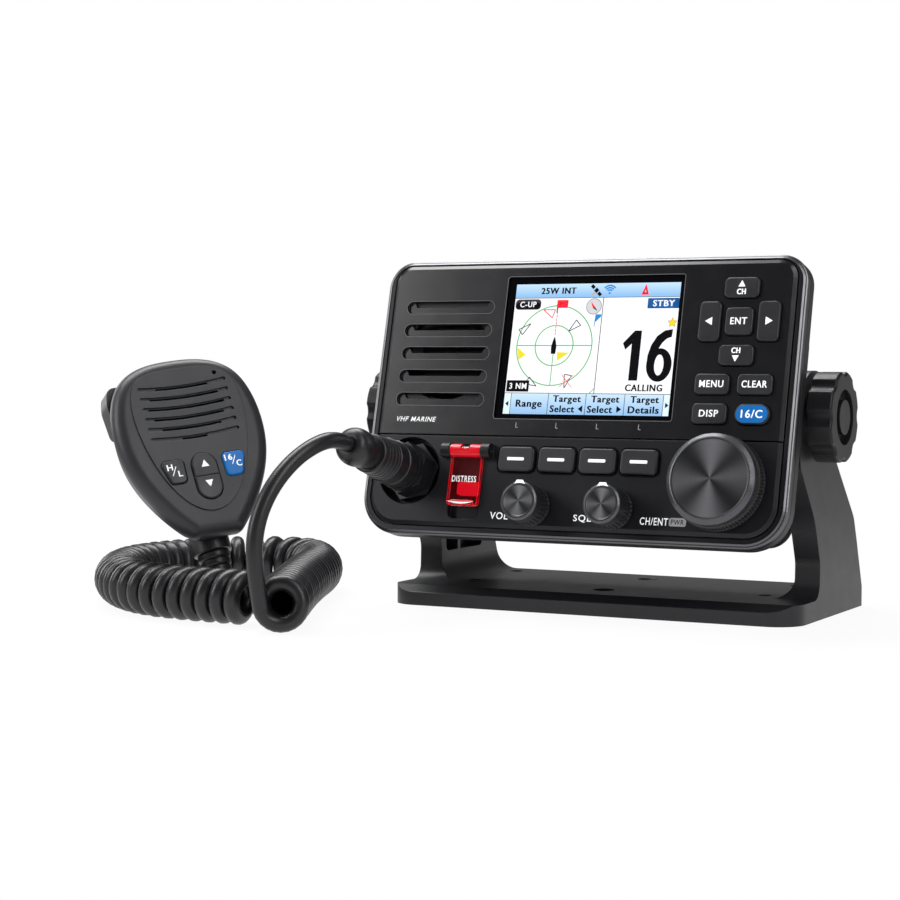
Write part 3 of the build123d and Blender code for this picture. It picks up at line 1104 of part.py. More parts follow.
with BuildPart(grip) as hanger_stud:
    slab(grip, disc(0, HANGER_Y, HANGER_NECK_RADIUS), grip_back - HANGER_NECK, grip_back)
    slab(grip, disc(0, HANGER_Y, HANGER_RADIUS), grip_back - HANGER_NECK - HANGER_HEAD,
         grip_back - HANGER_NECK)
    chamfer(hanger_stud.faces().sort_by(grip_facing)[0].edges(), 0.8)
hanger_stud.part.label = "hanger_stud"
export_step(hanger_stud.part, "parts/hanger_stud.step")


# Cord ------------------------------------------------------------------------
def arcs(points, share=0.45):
    """One radius for each corner of a route, as large as its two runs allow."""
    radii = []
    for before, here, after in zip(points, points[1:], points[2:]):
        run_in = Vector(here) - Vector(before)
        run_out = Vector(after) - Vector(here)
        half_turn = math.radians(run_in.get_angle(run_out)) / 2
        radii.append(share * min(run_in.length, run_out.length) / math.tan(half_turn))
    return radii


def route(points):
    """Straight runs joined by tangent arcs."""
    radii = arcs(points)
    with BuildLine(mode=Mode.PRIVATE) as path:
        FilletPolyline(*points, radius=radii)
    return path.wire()


def tube(points, diameter, name):
    line = route(points)
    print(name, "radii", [round(radius, 1) for radius in arcs(points)])
    with BuildPart() as cord:
        with BuildSketch(Plane(line @ 0, z_dir=line % 0)):
            Circle(diameter / 2)
        sweep(path=line)
    expected = math.pi * diameter ** 2 / 4 * line.length
    print(name, "length", round(line.length, 1), "volume", round(cord.part.volume / expected, 4))
    cord.part.label = name
    export_step(cord.part, f"parts/{name}.step")


def along(plane, x, y, z):
    return (plane.location * Location((x, y, z))).position


boot_exit = along(face, SOCKET_X, SOCKET_Y, BOOT_END)
boot_next = along(face, SOCKET_X, SOCKET_Y, BOOT_END + LEAD_FIRST)
relief_exit = along(grip, 0, -RELIEF_END, RELIEF_DEPTH)
relief_next = along(grip, 0, -RELIEF_END - SHORT_LEAD_FIRST, RELIEF_DEPTH)
tube([boot_exit, boot_next, *LEAD_POINTS], CORD_DIAMETER, "mic_lead")
tube([relief_exit, relief_next, *SHORT_LEAD_POINTS], CORD_DIAMETER, "handset_lead")
tube([(x, y, COIL_HEIGHT) for x, y in COIL_POINTS], COIL_DIAMETER, "curly_cord")
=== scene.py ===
import json
import math

import bpy
import numpy as np
from mathutils import Matrix, Vector


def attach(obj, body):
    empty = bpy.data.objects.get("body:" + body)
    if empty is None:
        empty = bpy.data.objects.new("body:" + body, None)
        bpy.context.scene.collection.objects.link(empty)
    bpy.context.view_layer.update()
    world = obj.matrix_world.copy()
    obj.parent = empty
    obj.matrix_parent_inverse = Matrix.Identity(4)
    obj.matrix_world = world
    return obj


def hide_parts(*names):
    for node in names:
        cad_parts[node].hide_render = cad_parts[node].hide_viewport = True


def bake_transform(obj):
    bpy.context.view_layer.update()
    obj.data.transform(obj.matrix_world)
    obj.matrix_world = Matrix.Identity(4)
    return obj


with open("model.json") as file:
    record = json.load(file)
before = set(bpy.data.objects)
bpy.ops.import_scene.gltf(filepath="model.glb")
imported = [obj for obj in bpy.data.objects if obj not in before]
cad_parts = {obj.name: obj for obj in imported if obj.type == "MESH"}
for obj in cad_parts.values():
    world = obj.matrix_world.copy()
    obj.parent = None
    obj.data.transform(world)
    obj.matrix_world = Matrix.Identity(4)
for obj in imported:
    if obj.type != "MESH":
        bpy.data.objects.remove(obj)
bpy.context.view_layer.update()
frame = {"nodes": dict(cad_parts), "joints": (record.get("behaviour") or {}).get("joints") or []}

# The shared frame is in metres. Shapes on the panel and on the hand microphone are written in
# millimetres on two planes: x to the right, y up and z out of the face.
MM = 0.001

# The two planes -------------------------------------------
TILT_BACK = 14.2  # degrees
PIVOT_DEPTH = 28.5  # from the panel's face back to the tilt axis
GRIP_POSITION = (-149.0, -96.4, 63.4)
GRIP_YAW = 52.0
GRIP_LEAN = 23.0
GRIP_ROLL = 8.0

joints = {joint["name"]: joint for joint in frame["joints"]}
pivot = Vector(joints["radio_tilt"]["pos_m"])
scale_mm = Matrix.Scale(MM, 4)
PANEL = (Matrix.Translation(pivot) @ Matrix.Rotation(math.radians(90 - TILT_BACK), 4, "X") @ scale_mm
         @ Matrix.Translation((0, 0, PIVOT_DEPTH)))
GRIP = (Matrix.Translation(Vector(GRIP_POSITION) * MM) @ Matrix.Rotation(math.radians(GRIP_YAW), 4, "Z")
        @ Matrix.Rotation(math.radians(90 - GRIP_LEAN), 4, "X")
        @ Matrix.Rotation(math.radians(GRIP_ROLL), 4, "Z") @ scale_mm)

# Panel sizes, mm ------------------------------------------
PANEL_SIZE = (178.0, 112.4)
PANEL_TOP_RADIUS = 11.0
PANEL_LOW_RADIUS = 16.0
WINDOW = (3.3, 19.9, 74.8, 57.5)  # centre and size
AREA = (-31.2, 38.8, -6.8, 46.1)  # the lit part: left, right, bottom, top
LIT_MARGIN = 0.1  # of clear lens round the lit part
LENS_FRONT = -0.9
DISPLAY_FRONT = -2.3
SLOT_X = -58.9
SLOT_TOP_Y = 36.4
SLOT_PITCH = 9.45
SLOT_COUNT = 5
SLOT_LENGTH = 39.2
SLOT_HEIGHT = 5.1
KEY_TOP = 1.5
PAD = (64.3, 29.7)
UP_OFFSET = 13.1
SIDE_OFFSET = 11.65
ROW_Y = (5.4, -5.95)
ROW_HALF_PITCH = 8.45
SOFTKEY_X = -21.7
SOFTKEY_PITCH = 17.15
SOFTKEY_COUNT = 4
SOFTKEY_Y = -25.15
SOFTKEY_GAP = (15.8, 10.3)  # opening round a soft key
SOFTKEY_BAR = (7.2, 1.24)
KNOB_X = {"volume": -13.0, "squelch": 21.25}
SMALL_KNOB_Y = -43.6
DIAL = (63.0, -32.75)
SOCKET = (-68.7, -30.75)
BOOT_END = 50.0
INK = 0.02  # how far print stands off its surface

# Distress guard, mm ---------------------------------------
GUARD_X = -42.7
GUARD_FRONT = 2.2
HINGE = (-22.5, 2.2)  # y and height of the pin
BARREL_RADIUS = 2.55
BARREL_END = 6.5  # from the guard's middle to the outer barrels' ends
BARREL_SPLIT = 2.0  # and to the middle barrel's ends
BARREL_SKIN = (-30, 80, 232)  # degrees: start of the outer skins, of the middle one, and end
# The lip values place a white strip of painted highlight along the guard's lower lip.
LIP_HALF = 5.9
LIP_FRONT = 3.64
LIP_Y = -43.0
LIP_SAGS = (0.25, 1.0)  # of the lip highlight's upper and lower edges

# Hand microphone sizes, mm --------------------------------
GRIP_KEY_TOP = 15.9
RELIEF_END = 55.0
RELIEF_DEPTH = -1.0

# Cord, mm -------------------------------------------------
CORD_DIAMETER = 6.3
COIL_DIAMETER = 21.2
COIL_RADIUS = (COIL_DIAMETER - CORD_DIAMETER) / 2
COIL_HEIGHT = COIL_DIAMETER / 2
COIL_GAP = 0.12  # between turns
LEAD_FIRST = 9.0
LEAD_POINTS = [(-70.8, -124.0, 69.0), (-75.2, -134.5, 63.0), (-79.2, -143.8, 53.0),
               (-81.8, -149.6, 40.5), (-82.3, -150.9, 26.0), (-81.1, -148.2, 10.6)]
SHORT_LEAD_FIRST = 6.5
SHORT_LEAD_POINTS = [(-119.5, -105.2, 3.7), (-111.5, -106.2, 3.7), (-103.6, -109.6, 6.4),
                     (-98.6, -116.4, 10.9), (-97.1, -124.2, 15.9), (-97.8, -131.0, 18.1)]
COIL_POINTS = [(-74.4, -144.8), (-95.0, -103.5), (-114.0, -62.0), (-131.0, -21.0), (-154.0, 6.5),
               (-184.0, -3.5), (-199.0, -36.0), (-197.5, -70.0), (-179.5, -101.0),
               (-155.0, -121.5), (-127.0, -130.5), (-98.0, -131.0)]
LAST_SHARE = 0.75  # of a turn: the helix starts on the left and ends on top
COIL_STEPS = 24  # points between two of a route's control points
LEAD_STEPS = 12
TURN_POINTS = 24
TUBE_SIDES = 14
SAME_POINT = 0.1
BEND_REACH = 8  # points on each side over which the route's bend is averaged

# Camera ---------------------------------------------------
CAMERA_PLACE = (0.3383, -0.8055, 0.1006)
CAMERA_AZIMUTH = 27.45
CAMERA_DOWN = 2.47
CAMERA_ROLL = 0.12
CAMERA_LENS = 85.56
SENSOR = 36.0

camera_data = bpy.data.cameras.new("camera")
camera_data.sensor_width = SENSOR
camera_data.lens = CAMERA_LENS
camera = bpy.data.objects.new("camera", camera_data)
camera.matrix_world = (Matrix.Translation(CAMERA_PLACE)
                       @ Matrix.Rotation(math.radians(CAMERA_AZIMUTH), 4, "Z")
                       @ Matrix.Rotation(math.radians(90 - CAMERA_DOWN), 4, "X")
                       @ Matrix.Rotation(math.radians(CAMERA_ROLL), 4, "Z"))
bpy.context.scene.collection.objects.link(camera)
bpy.context.scene.camera = camera


# Materials ------------------------------------------------
NOISE_RANGE = (0.3, 0.7)  # where most of a noise's values lie
NOISE_ROUGHNESS = 0.6
EDGE_START = 0.995  # likeness of the true and the rounded normal where an edge starts
WEAR_AND_HIGHLIGHT_FULL = 0.86  # and where its painted highlight and wear are strongest
PALE_GAIN = 2.2  # a lighter edge against its colour: painted highlight and wear
PALE_LIFT = 0.02
GLOSS_PATCH = 2.3  # gloss varies this much finer than colour
SCREEN_LIGHT = 1.2
PIXEL_SCALE = 2200.0
RING_PITCH = 0.22  # mm between the rings of a turned face
PAINTED_LOBES = 4.0
PAINTED_LOBE_REACH = 1.3
BLACK = (0.0, 0.0, 0.0, 1.0)
WHITE = (1.0, 1.0, 1.0, 1.0)


def feed(tree, target, inputs):
    """Set a node's inputs; each is a number or colour, or a socket to link."""
    for name, value in inputs.items():
        if isinstance(value, bpy.types.NodeSocket):
            tree.links.new(value, target.inputs[name])
        else:
            target.inputs[name].default_value = value


def node(tree, kind, inputs=None, **settings):
    """A new shader node."""
    made = tree.nodes.new("ShaderNode" + kind)
    for name, value in settings.items():
        setattr(made, name, value)
    feed(tree, made, inputs or {})
    return made


def calc(tree, operation, *values):
    """The result of a Math node."""
    return node(tree, "Math", dict(enumerate(values)), operation=operation).outputs[0]


def mapped(tree, value, low, high, start=0.0, end=1.0):
    """A value that goes from low to high while the given one goes from start to end."""
    return node(tree, "MapRange", {"Value": value, "From Min": start, "From Max": end,
                                   "To Min": low, "To Max": high}).outputs[0]


def mixed(tree, share, first, second, **settings):
    """A colour between two."""
    inputs = {"Fac": share, "Color1": first, "Color2": second}
    return node(tree, "MixRGB", inputs, **settings).outputs[0]


def new_material(name):
    """A material, its tree, its shader, and the place on the object."""
    made = bpy.data.materials.new(name)
    made.use_nodes = True
    tree = made.node_tree
    return made, tree, tree.nodes["Principled BSDF"], node(tree, "TexCoord").outputs["Object"]


def rgba(colour, gain=1.0, lift=0.0):
    """A colour for a socket, made lighter or darker by gain and lift."""
    return (*(min(1.0, value * gain + lift) for value in colour), 1.0)


def noise(tree, where, scale, detail=2.0, low=0.0, high=1.0):
    """Noise over the surface, from low to high."""
    made = node(tree, "TexNoise", {"Vector": where, "Scale": scale, "Detail": detail,
                                   "Roughness": NOISE_ROUGHNESS})
    return mapped(tree, made.outputs["Fac"], low, high, *NOISE_RANGE)


def edges(tree, round_mm, samples, full, strength):
    """The normal with its edges rounded, and how near an edge is: full is the likeness of this normal
    to the true one where an edge has its whole strength."""
    soft = node(tree, "Bevel", {"Radius": round_mm * MM}, samples=samples).outputs["Normal"]
    flat = node(tree, "NewGeometry").outputs["Normal"]
    match = node(tree, "VectorMath", {0: soft, 1: flat}, operation="DOT_PRODUCT").outputs["Value"]
    return soft, mapped(tree, match, 0.0, strength, EDGE_START, full)


def moulded(name, colour, rough, shade=0.1, gloss=0.06, grain=2600.0, depth=0.012, patch=45.0,
            round_mm=0.25, wear_and_highlight=0.35, specular=0.5, metallic=0.0, glow=0.0):
    """A moulded or painted surface: fine grain, faint patches of colour and gloss, rounded edges
    that are painted lighter, a painted highlight that also stands for wear, and any glow as painted light."""
    made, tree, shader, where = new_material(name)
    # Rounded edges are painted lighter: a painted highlight along each edge, which also stands for wear.
    soft, edge = edges(tree, round_mm, 4, WEAR_AND_HIGHLIGHT_FULL, wear_and_highlight)
    body = mixed(tree, noise(tree, where, patch, 4.0), rgba(colour, 1 - shade), rgba(colour, 1 + shade))
    bump = node(tree, "Bump", {"Strength": 1.0, "Distance": depth * MM,
                               "Height": noise(tree, where, grain, 3.0), "Normal": soft})
    feed(tree, shader, {
        "Base Color": mixed(tree, edge, body, rgba(colour, PALE_GAIN, PALE_LIFT)),
        "Roughness": noise(tree, where, patch * GLOSS_PATCH, 3.0, rough - gloss, rough + gloss),
        "Normal": bump.outputs["Normal"],
        "Specular IOR Level": specular,
        "Metallic": metallic,
        "Emission Color": rgba(colour),
        "Emission Strength": glow,
    })
    return made


def screen_ink(name, colour, fades=None):
    """Lit display colour under a fine pixel grid. A strip of the display may fade to another colour:
    fades holds the strip's top and bottom on the panel, and the colour at its bottom."""
    made, tree, shader, where = new_material(name)
    pixels = node(tree, "TexWave", {"Vector": where, "Scale": PIXEL_SCALE}, bands_direction="X")
    body = rgba(colour)
    if fades:
        top, bottom, low_colour = fades
        height = node(tree, "SeparateXYZ", {0: where}).outputs["Z"]
        ends = [(PANEL @ Vector((0, y, 0))).z for y in (bottom, top)]
        body = mixed(tree, mapped(tree, height, 0.0, 1.0, *ends), rgba(low_colour), body)
    feed(tree, shader, {
        "Emission Color": mixed(tree, pixels.outputs["Fac"], body, rgba([0.95] * 3), blend_type="MULTIPLY"),
        "Emission Strength": SCREEN_LIGHT,
        "Base Color": BLACK,
        "Roughness": 0.4,
        "Specular IOR Level": 0.0,
    })
    return made


def lens_material():
    """Clear over the lit area, with a black border printed behind it."""
    made, tree, shader, where = new_material("lens")
    parts = node(tree, "SeparateXYZ", {0: where}).outputs
    left, right, bottom, top = AREA
    low = PANEL @ Vector((left - LIT_MARGIN, bottom - LIT_MARGIN, LENS_FRONT))
    high = PANEL @ Vector((right + LIT_MARGIN, top + LIT_MARGIN, LENS_FRONT))
    spans = [calc(tree, "MULTIPLY", calc(tree, "GREATER_THAN", parts[axis], first),
                  calc(tree, "LESS_THAN", parts[axis], last))
             for axis, first, last in (("X", low.x, high.x), ("Z", low.z, high.z))]
    inside = calc(tree, "MULTIPLY", *spans)
    feed(tree, shader, {
        "Base Color": mixed(tree, inside, (0.002, 0.002, 0.003, 1.0), WHITE),
        "Transmission Weight": inside,
        "Roughness": noise(tree, where, 90.0, 2.0, 0.0, 0.03),
        "IOR": 1.3,
    })
    return made


def guard_material():
    """Clear red plastic: see-through in the middle, with painted light along its edges, which are lighter
    red and glow.
    """
    made, tree, shader, where = new_material("guard_red")
    soft, edge = edges(tree, 0.9, 6, 0.9, 1.0)
    deep = mixed(tree, noise(tree, where, 300.0, 3.0), (0.10, 0.001, 0.003, 1.0), (0.22, 0.002, 0.006, 1.0))
    # Edges are painted a lighter red and made to glow: painted light.
    tint = mixed(tree, edge, deep, (0.9, 0.003, 0.012, 1.0))
    feed(tree, shader, {
        "Base Color": tint,
        "Alpha": mapped(tree, edge, 0.3, 1.0),
        "Normal": soft,
        "Roughness": noise(tree, where, 200.0, 2.0, 0.1, 0.18),
        "Emission Color": tint,
        "Emission Strength": mapped(tree, edge, 0.0, 0.5),
    })
    return made


def spun(name, colour, rough):
    """A turned face: fine rings, gloss drawn out round the middle, and painted highlight lobes that make the
    colour lighter and darker by angle.
    """
    made, tree, shader, where = new_material(name)
    parts = node(tree, "SeparateXYZ", {0: where}).outputs
    flat = node(tree, "CombineXYZ", {"X": parts["X"], "Y": parts["Y"]}).outputs[0]
    radius = node(tree, "VectorMath", {0: flat}, operation="LENGTH").outputs["Value"]
    wave = calc(tree, "SINE", calc(tree, "MULTIPLY", radius, 2 * math.pi / (RING_PITCH * MM)))
    angle = calc(tree, "ARCTAN2", parts["Y"], parts["X"])
    # The colour goes lighter and darker with the angle round the middle: painted highlight lobes.
    painted_lobe = calc(tree, "COSINE", calc(tree, "MULTIPLY", angle, PAINTED_LOBES))
    scratch = noise(tree, node(tree, "CombineXYZ", {"X": radius}).outputs[0], 5200.0, 3.0, -0.5, 0.5)
    share = mapped(tree, calc(tree, "ADD", painted_lobe, scratch), 0.0, 1.0, -PAINTED_LOBE_REACH, PAINTED_LOBE_REACH)
    bump = node(tree, "Bump", {"Strength": 0.5, "Distance": 0.004 * MM, "Height": wave})
    feed(tree, shader, {
        "Base Color": mixed(tree, share, rgba(colour, 0.35), rgba(colour, 2.6)),
        "Normal": bump.outputs["Normal"],
        "Tangent": node(tree, "Tangent", direction_type="RADIAL", axis="Z").outputs[0],
        "Metallic": 0.85,
        "Roughness": rough,
        "Anisotropic": 0.85,
    })
    return made


# A glow in this table is painted light: these parts give off light though they are no lamps.
look = {
    "bracket": moulded("bracket_black", (0.017, 0.017, 0.020), 0.42, gloss=0.02, grain=1500.0, wear_and_highlight=0.5,
                       specular=0.45),
    "clamp": moulded("clamp_black", (0.011, 0.011, 0.013), 0.40, gloss=0.03, grain=1500.0, depth=0.010,
                     round_mm=0.5, wear_and_highlight=0.6, specular=0.3),
    "steel": moulded("steel", (0.52, 0.52, 0.53), 0.28, shade=0.08, grain=4000.0, depth=0.004, metallic=1.0),
    "case": moulded("case_black", (0.012, 0.012, 0.014), 0.5, shade=0.25, grain=1900.0, depth=0.03),
    "front": moulded("front_charcoal", (0.011, 0.011, 0.014), 0.34, gloss=0.02, depth=0.006, round_mm=0.35,
                     wear_and_highlight=0.9, specular=0.28),
    "gloss": moulded("gloss_black", (0.005, 0.005, 0.007), 0.24, gloss=0.02, grain=1200.0, depth=0.0005,
                     specular=0.62, wear_and_highlight=0.5),
    # The bezel is lighter and more metallic than the front case it edges: a painted highlight along the
    # panel's rounded rim.
    "bezel": moulded("bezel_painted_highlight", (0.12, 0.12, 0.128), 0.3, gloss=0.02, depth=0.004, wear_and_highlight=0.2,
                     specular=1.0, metallic=0.75),
    "guard_solid": moulded("guard_solid", (0.62, 0.002, 0.012), 0.16, gloss=0.03, depth=0.002, wear_and_highlight=0.2,
                           glow=0.35),
    "key": moulded("key_black", (0.015, 0.015, 0.018), 0.4, shade=0.25, grain=2400.0, depth=0.008,
                   round_mm=0.4, wear_and_highlight=0.7),
    "blue": moulded("key_blue", (0.004, 0.16, 0.52), 0.36, shade=0.06, grain=2400.0, depth=0.006, wear_and_highlight=0.15,
                    specular=0.3, glow=0.12),
    # The red button's strong glow is painted light, so that it shows bright through the guard.
    "red": moulded("button_red", (0.80, 0.003, 0.015), 0.3, shade=0.08, grain=2000.0, depth=0.006, wear_and_highlight=0.1,
                   glow=1.2),
    "knob": moulded("knob_black", (0.016, 0.016, 0.018), 0.36, shade=0.25, depth=0.006),
    "rim": moulded("knob_rim", (0.09, 0.09, 0.10), 0.3, depth=0.004, metallic=0.5),
    "rubber": moulded("rubber_black", (0.010, 0.010, 0.012), 0.38, gloss=0.02, grain=1800.0, depth=0.003,
                      wear_and_highlight=0.08),
    "cord": moulded("cord_black", (0.010, 0.010, 0.012), 0.36, grain=1400.0, depth=0.0006, patch=25.0,
                    gloss=0.015, wear_and_highlight=0.0),
    "grip": moulded("grip_charcoal", (0.024, 0.024, 0.028), 0.42, gloss=0.02, grain=2300.0, depth=0.010,
                    round_mm=0.4, wear_and_highlight=0.6),
    "board": moulded("board_green", (0.02, 0.13, 0.06), 0.4, shade=0.25, grain=900.0, depth=0.01),
    "print": moulded("print_white", (0.85, 0.86, 0.87), 0.5, shade=0.04, grain=3000.0, depth=0.002, wear_and_highlight=0.0,
                     glow=0.5),
    "print_grey": moulded("print_grey", (0.26, 0.26, 0.27), 0.5, shade=0.05, grain=3000.0, depth=0.002,
                          wear_and_highlight=0.0, glow=0.3),
    # Outline: glowing lines of painted highlight along step edges.
    "outline": moulded("painted_edge_highlight", (0.09, 0.09, 0.10), 0.4, depth=0.002, wear_and_highlight=0.0, glow=0.25),
    # Black for the painted shadow round the soft keys, also used for the dark PWR print.
    "shadow": moulded("painted_shadow_and_print_black", (0.0015, 0.0015, 0.002), 0.6, depth=0.002, wear_and_highlight=0.0, specular=0.1),
    "guard": guard_material(),
    "lens": lens_material(),
    "turned": spun("turned_face", (0.070, 0.070, 0.076), 0.33),
    "screen": moulded("screen_frame", (0.004, 0.004, 0.005), 0.3, wear_and_highlight=0.0),
}

finish_of = {
    "bracket": ["bracket"],
    "clamp": ["knob_left", "knob_right"],
    "steel": ["knob_left_stud", "knob_left_washer", "knob_right_stud", "knob_right_washer", "distress_pin",
              "distress_spring", "case_screws", "volume_shaft", "squelch_shaft", "dial_shaft",
              "antenna_socket"],
    "case": ["rear_case"],
    "front": ["front_case"],
    "grip": ["handset_front", "handset_rear", "ptt_button"],
    "gloss": ["upper_fascia"],
    "lens": ["display_lens"],
    "screen": ["lcd_module", "speaker"],
    "board": ["main_board", "front_board", "handset_board"],
    "key": ["handset_key_hl", "handset_rocker"]
           + [name for name in frame["nodes"] if name.startswith(("key_", "softkey_"))],
    "blue": ["handset_key_16"],
    "guard": ["distress_cover"],
    "red": ["distress_button"],
    "knob": ["volume_knob", "squelch_knob", "dial_knob", "encoders"],
    "rubber": ["case_gasket", "friction_pads", "mic_plug", "plug_boot", "coupling_ring", "mic_socket",
               "strain_relief", "rear_sockets", "hanger_stud"],
    "cord": ["curly_cord", "mic_lead", "handset_lead"],
}
for finish, names in finish_of.items():
    for name in names:
        shown = frame["nodes"][name]
        shown.data.materials.clear()
        shown.data.materials.append(look[finish])


# Pieces ---------------------------------------------------
def piece(name, vertices, faces, finish, smooth=False):
    """A mesh at the origin, from points in metres."""
    mesh = bpy.data.meshes.new(name)
    mesh.from_pydata([tuple(point) for point in vertices], [], faces)
    mesh.materials.append(look[finish])
    mesh.update()
    if smooth:
        mesh.shade_smooth()
    made = bpy.data.objects.new(name, mesh)
    bpy.context.scene.collection.objects.link(made)
    return made


def grid(rows, count, closed=True):
    """Faces between rows of points, of as many points each."""
    last = count if closed else count - 1
    return [(row * count + i, row * count + (i + 1) % count, (row + 1) * count + (i + 1) % count,
             (row + 1) * count + i) for row in range(rows - 1) for i in range(last)]


# Cords ----------------------------------------------------
def smooth_line(points, steps):
    """Points along the NURBS line that has these control points, in metres."""
    curve = bpy.data.curves.new("route", "CURVE")
    curve.dimensions = "3D"
    spline = curve.splines.new("NURBS")
    spline.points.add(len(points) - 1)
    for control, point in zip(spline.points, points):
        control.co = (*point, 1.0)
    spline.order_u = 3
    spline.use_endpoint_u = True
    spline.resolution_u = steps
    holder = bpy.data.objects.new("route", curve)
    line = bpy.data.meshes.new_from_object(holder)
    found = np.array([vertex.co for vertex in line.vertices])
    bpy.data.objects.remove(holder)
    bpy.data.curves.remove(curve)
    bpy.data.meshes.remove(line)
    return found


def walked(line):
    """Distance along a line of points."""
    return np.concatenate([[0.0], np.cumsum(np.linalg.norm(np.diff(line, axis=0), axis=1))])


def apart(line):
    """The line without the points that lie on the one before."""
    return line[np.concatenate([[True], np.diff(walked(line)) > SAME_POINT * MM])]


def tube(name, centres):
    """The cord along its centres, turned as little as possible from ring to ring."""
    radius = CORD_DIAMETER / 2 * MM
    ahead = np.gradient(centres, axis=0)
    ahead /= np.linalg.norm(ahead, axis=1)[:, None]
    across = np.cross(ahead[0], (0.0, 0.0, 1.0))
    vertices = []
    for centre, heading in zip(centres, ahead):
        across = across - heading * (across @ heading)
        across /= np.linalg.norm(across)
        other = np.cross(heading, across)
        for side in range(TUBE_SIDES):
            angle = 2 * math.pi * side / TUBE_SIDES
            vertices.append(centre + radius * (math.cos(angle) * across + math.sin(angle) * other))
    ends = [tuple(range(TUBE_SIDES))[::-1], tuple(range(len(vertices) - TUBE_SIDES, len(vertices)))]
    return piece(name, vertices, ends + grid(len(centres), TUBE_SIDES), "cord", smooth=True)


def curly(points):
    """The helix of the curly cord: it starts at the left of the line, heading down, and ends on top."""
    line = smooth_line([(x * MM, y * MM, COIL_HEIGHT * MM) for x, y in points], COIL_STEPS)
    distance = walked(line)
    ahead = np.gradient(line, axis=0)
    heading = np.unwrap(np.arctan2(ahead[:, 1], ahead[:, 0]))
    bend = np.abs(np.gradient(heading, distance))
    window = np.ones(2 * BEND_REACH + 1) / (2 * BEND_REACH + 1)
    bend = np.convolve(np.pad(bend, BEND_REACH, "edge"), window, "valid")
    radius = COIL_RADIUS * MM
    density = (1 - radius * bend) / ((CORD_DIAMETER + COIL_GAP) * MM)
    turns = np.concatenate([[0.0], np.cumsum((density[1:] + density[:-1]) / 2 * np.diff(distance))])
    whole = math.floor(turns[-1] - LAST_SHARE) + LAST_SHARE
    turns *= whole / turns[-1]
    steps = int(whole * TURN_POINTS)
    count = np.arange(steps + 1) / steps * whole
    where = np.interp(count, turns, distance)
    middle = np.stack([np.interp(where, distance, line[:, axis]) for axis in range(3)], axis=1)
    facing = np.interp(where, distance, heading)
    left = np.stack([-np.sin(facing), np.cos(facing), np.zeros_like(facing)], axis=1)
    angle = -2 * math.pi * count
    upwards = np.array([0.0, 0.0, 1.0])
    return middle + radius * (np.cos(angle)[:, None] * left + np.sin(angle)[:, None] * upwards)


def lead_line(plane, exit_point, first, points, helix_end):
    """A lead's line: out of a point on a plane in the direction of first, along the route's points, and
    on to the helix, whose end takes the place of the last of them."""
    start, straight = plane @ Vector(exit_point), plane @ (Vector(exit_point) + Vector(first))
    return smooth_line([start, straight, *(Vector(point) * MM for point in points[:-1]),
                        Vector(helix_end)], LEAD_STEPS)


helix = curly(COIL_POINTS)
BOOT_POINT = (*SOCKET, BOOT_END)
RELIEF_POINT = (0, -RELIEF_END, RELIEF_DEPTH)

lead = lead_line(PANEL, BOOT_POINT, (0, 0, LEAD_FIRST), LEAD_POINTS, helix[0])
long_line = apart(np.concatenate([lead, helix[1:]]))
mic_cord = tube("microphone_cord", long_line)
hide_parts("mic_lead", "curly_cord")
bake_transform(mic_cord)

short_line = apart(lead_line(GRIP, RELIEF_POINT, (0, -SHORT_LEAD_FIRST, 0), SHORT_LEAD_POINTS, helix[-1]))
handset_cord = tube("handset_cord", short_line)
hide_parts("handset_lead")
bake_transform(handset_cord)


# Outlines on a plane, mm ----------------------------------
def arc_points(x, y, radius, first, last, steps):
    """Points on an arc between two angles in degrees."""
    angles = [math.radians(first + (last - first) * step / steps) for step in range(steps + 1)]
    return [(x + radius * math.cos(angle), y + radius * math.sin(angle)) for angle in angles]


def ellipse(x, y, wide, tall, steps):
    """Points round an ellipse with these half widths."""
    angles = [2 * math.pi * step / steps for step in range(steps)]
    return [(x + wide * math.cos(angle), y + tall * math.sin(angle)) for angle in angles]


def rounded(left, right, bottom, top, radius, steps, low_radius=None):
    """A rectangle with rounded corners, the lower two perhaps of another radius."""
    low = radius if low_radius is None else low_radius
    return [*arc_points(right - radius, top - radius, radius, 0, 90, steps),
            *arc_points(left + radius, top - radius, radius, 90, 180, steps),
            *arc_points(left + low, bottom + low, low, 180, 270, steps),
            *arc_points(right - low, bottom + low, low, 270, 360, steps)]


def sides_of(x, y, wide, tall):
    """Left, right, bottom and top of a rectangle, from its middle and size."""
    return x - wide / 2, x + wide / 2, y - tall / 2, y + tall / 2


# Printing -------------------------------------------------
LETTER_SPACING = 1.14
LETTER_WEIGHT = 0.012
BOLD_STEP = 0.01  # rise of a bold letter's copies, against their shift


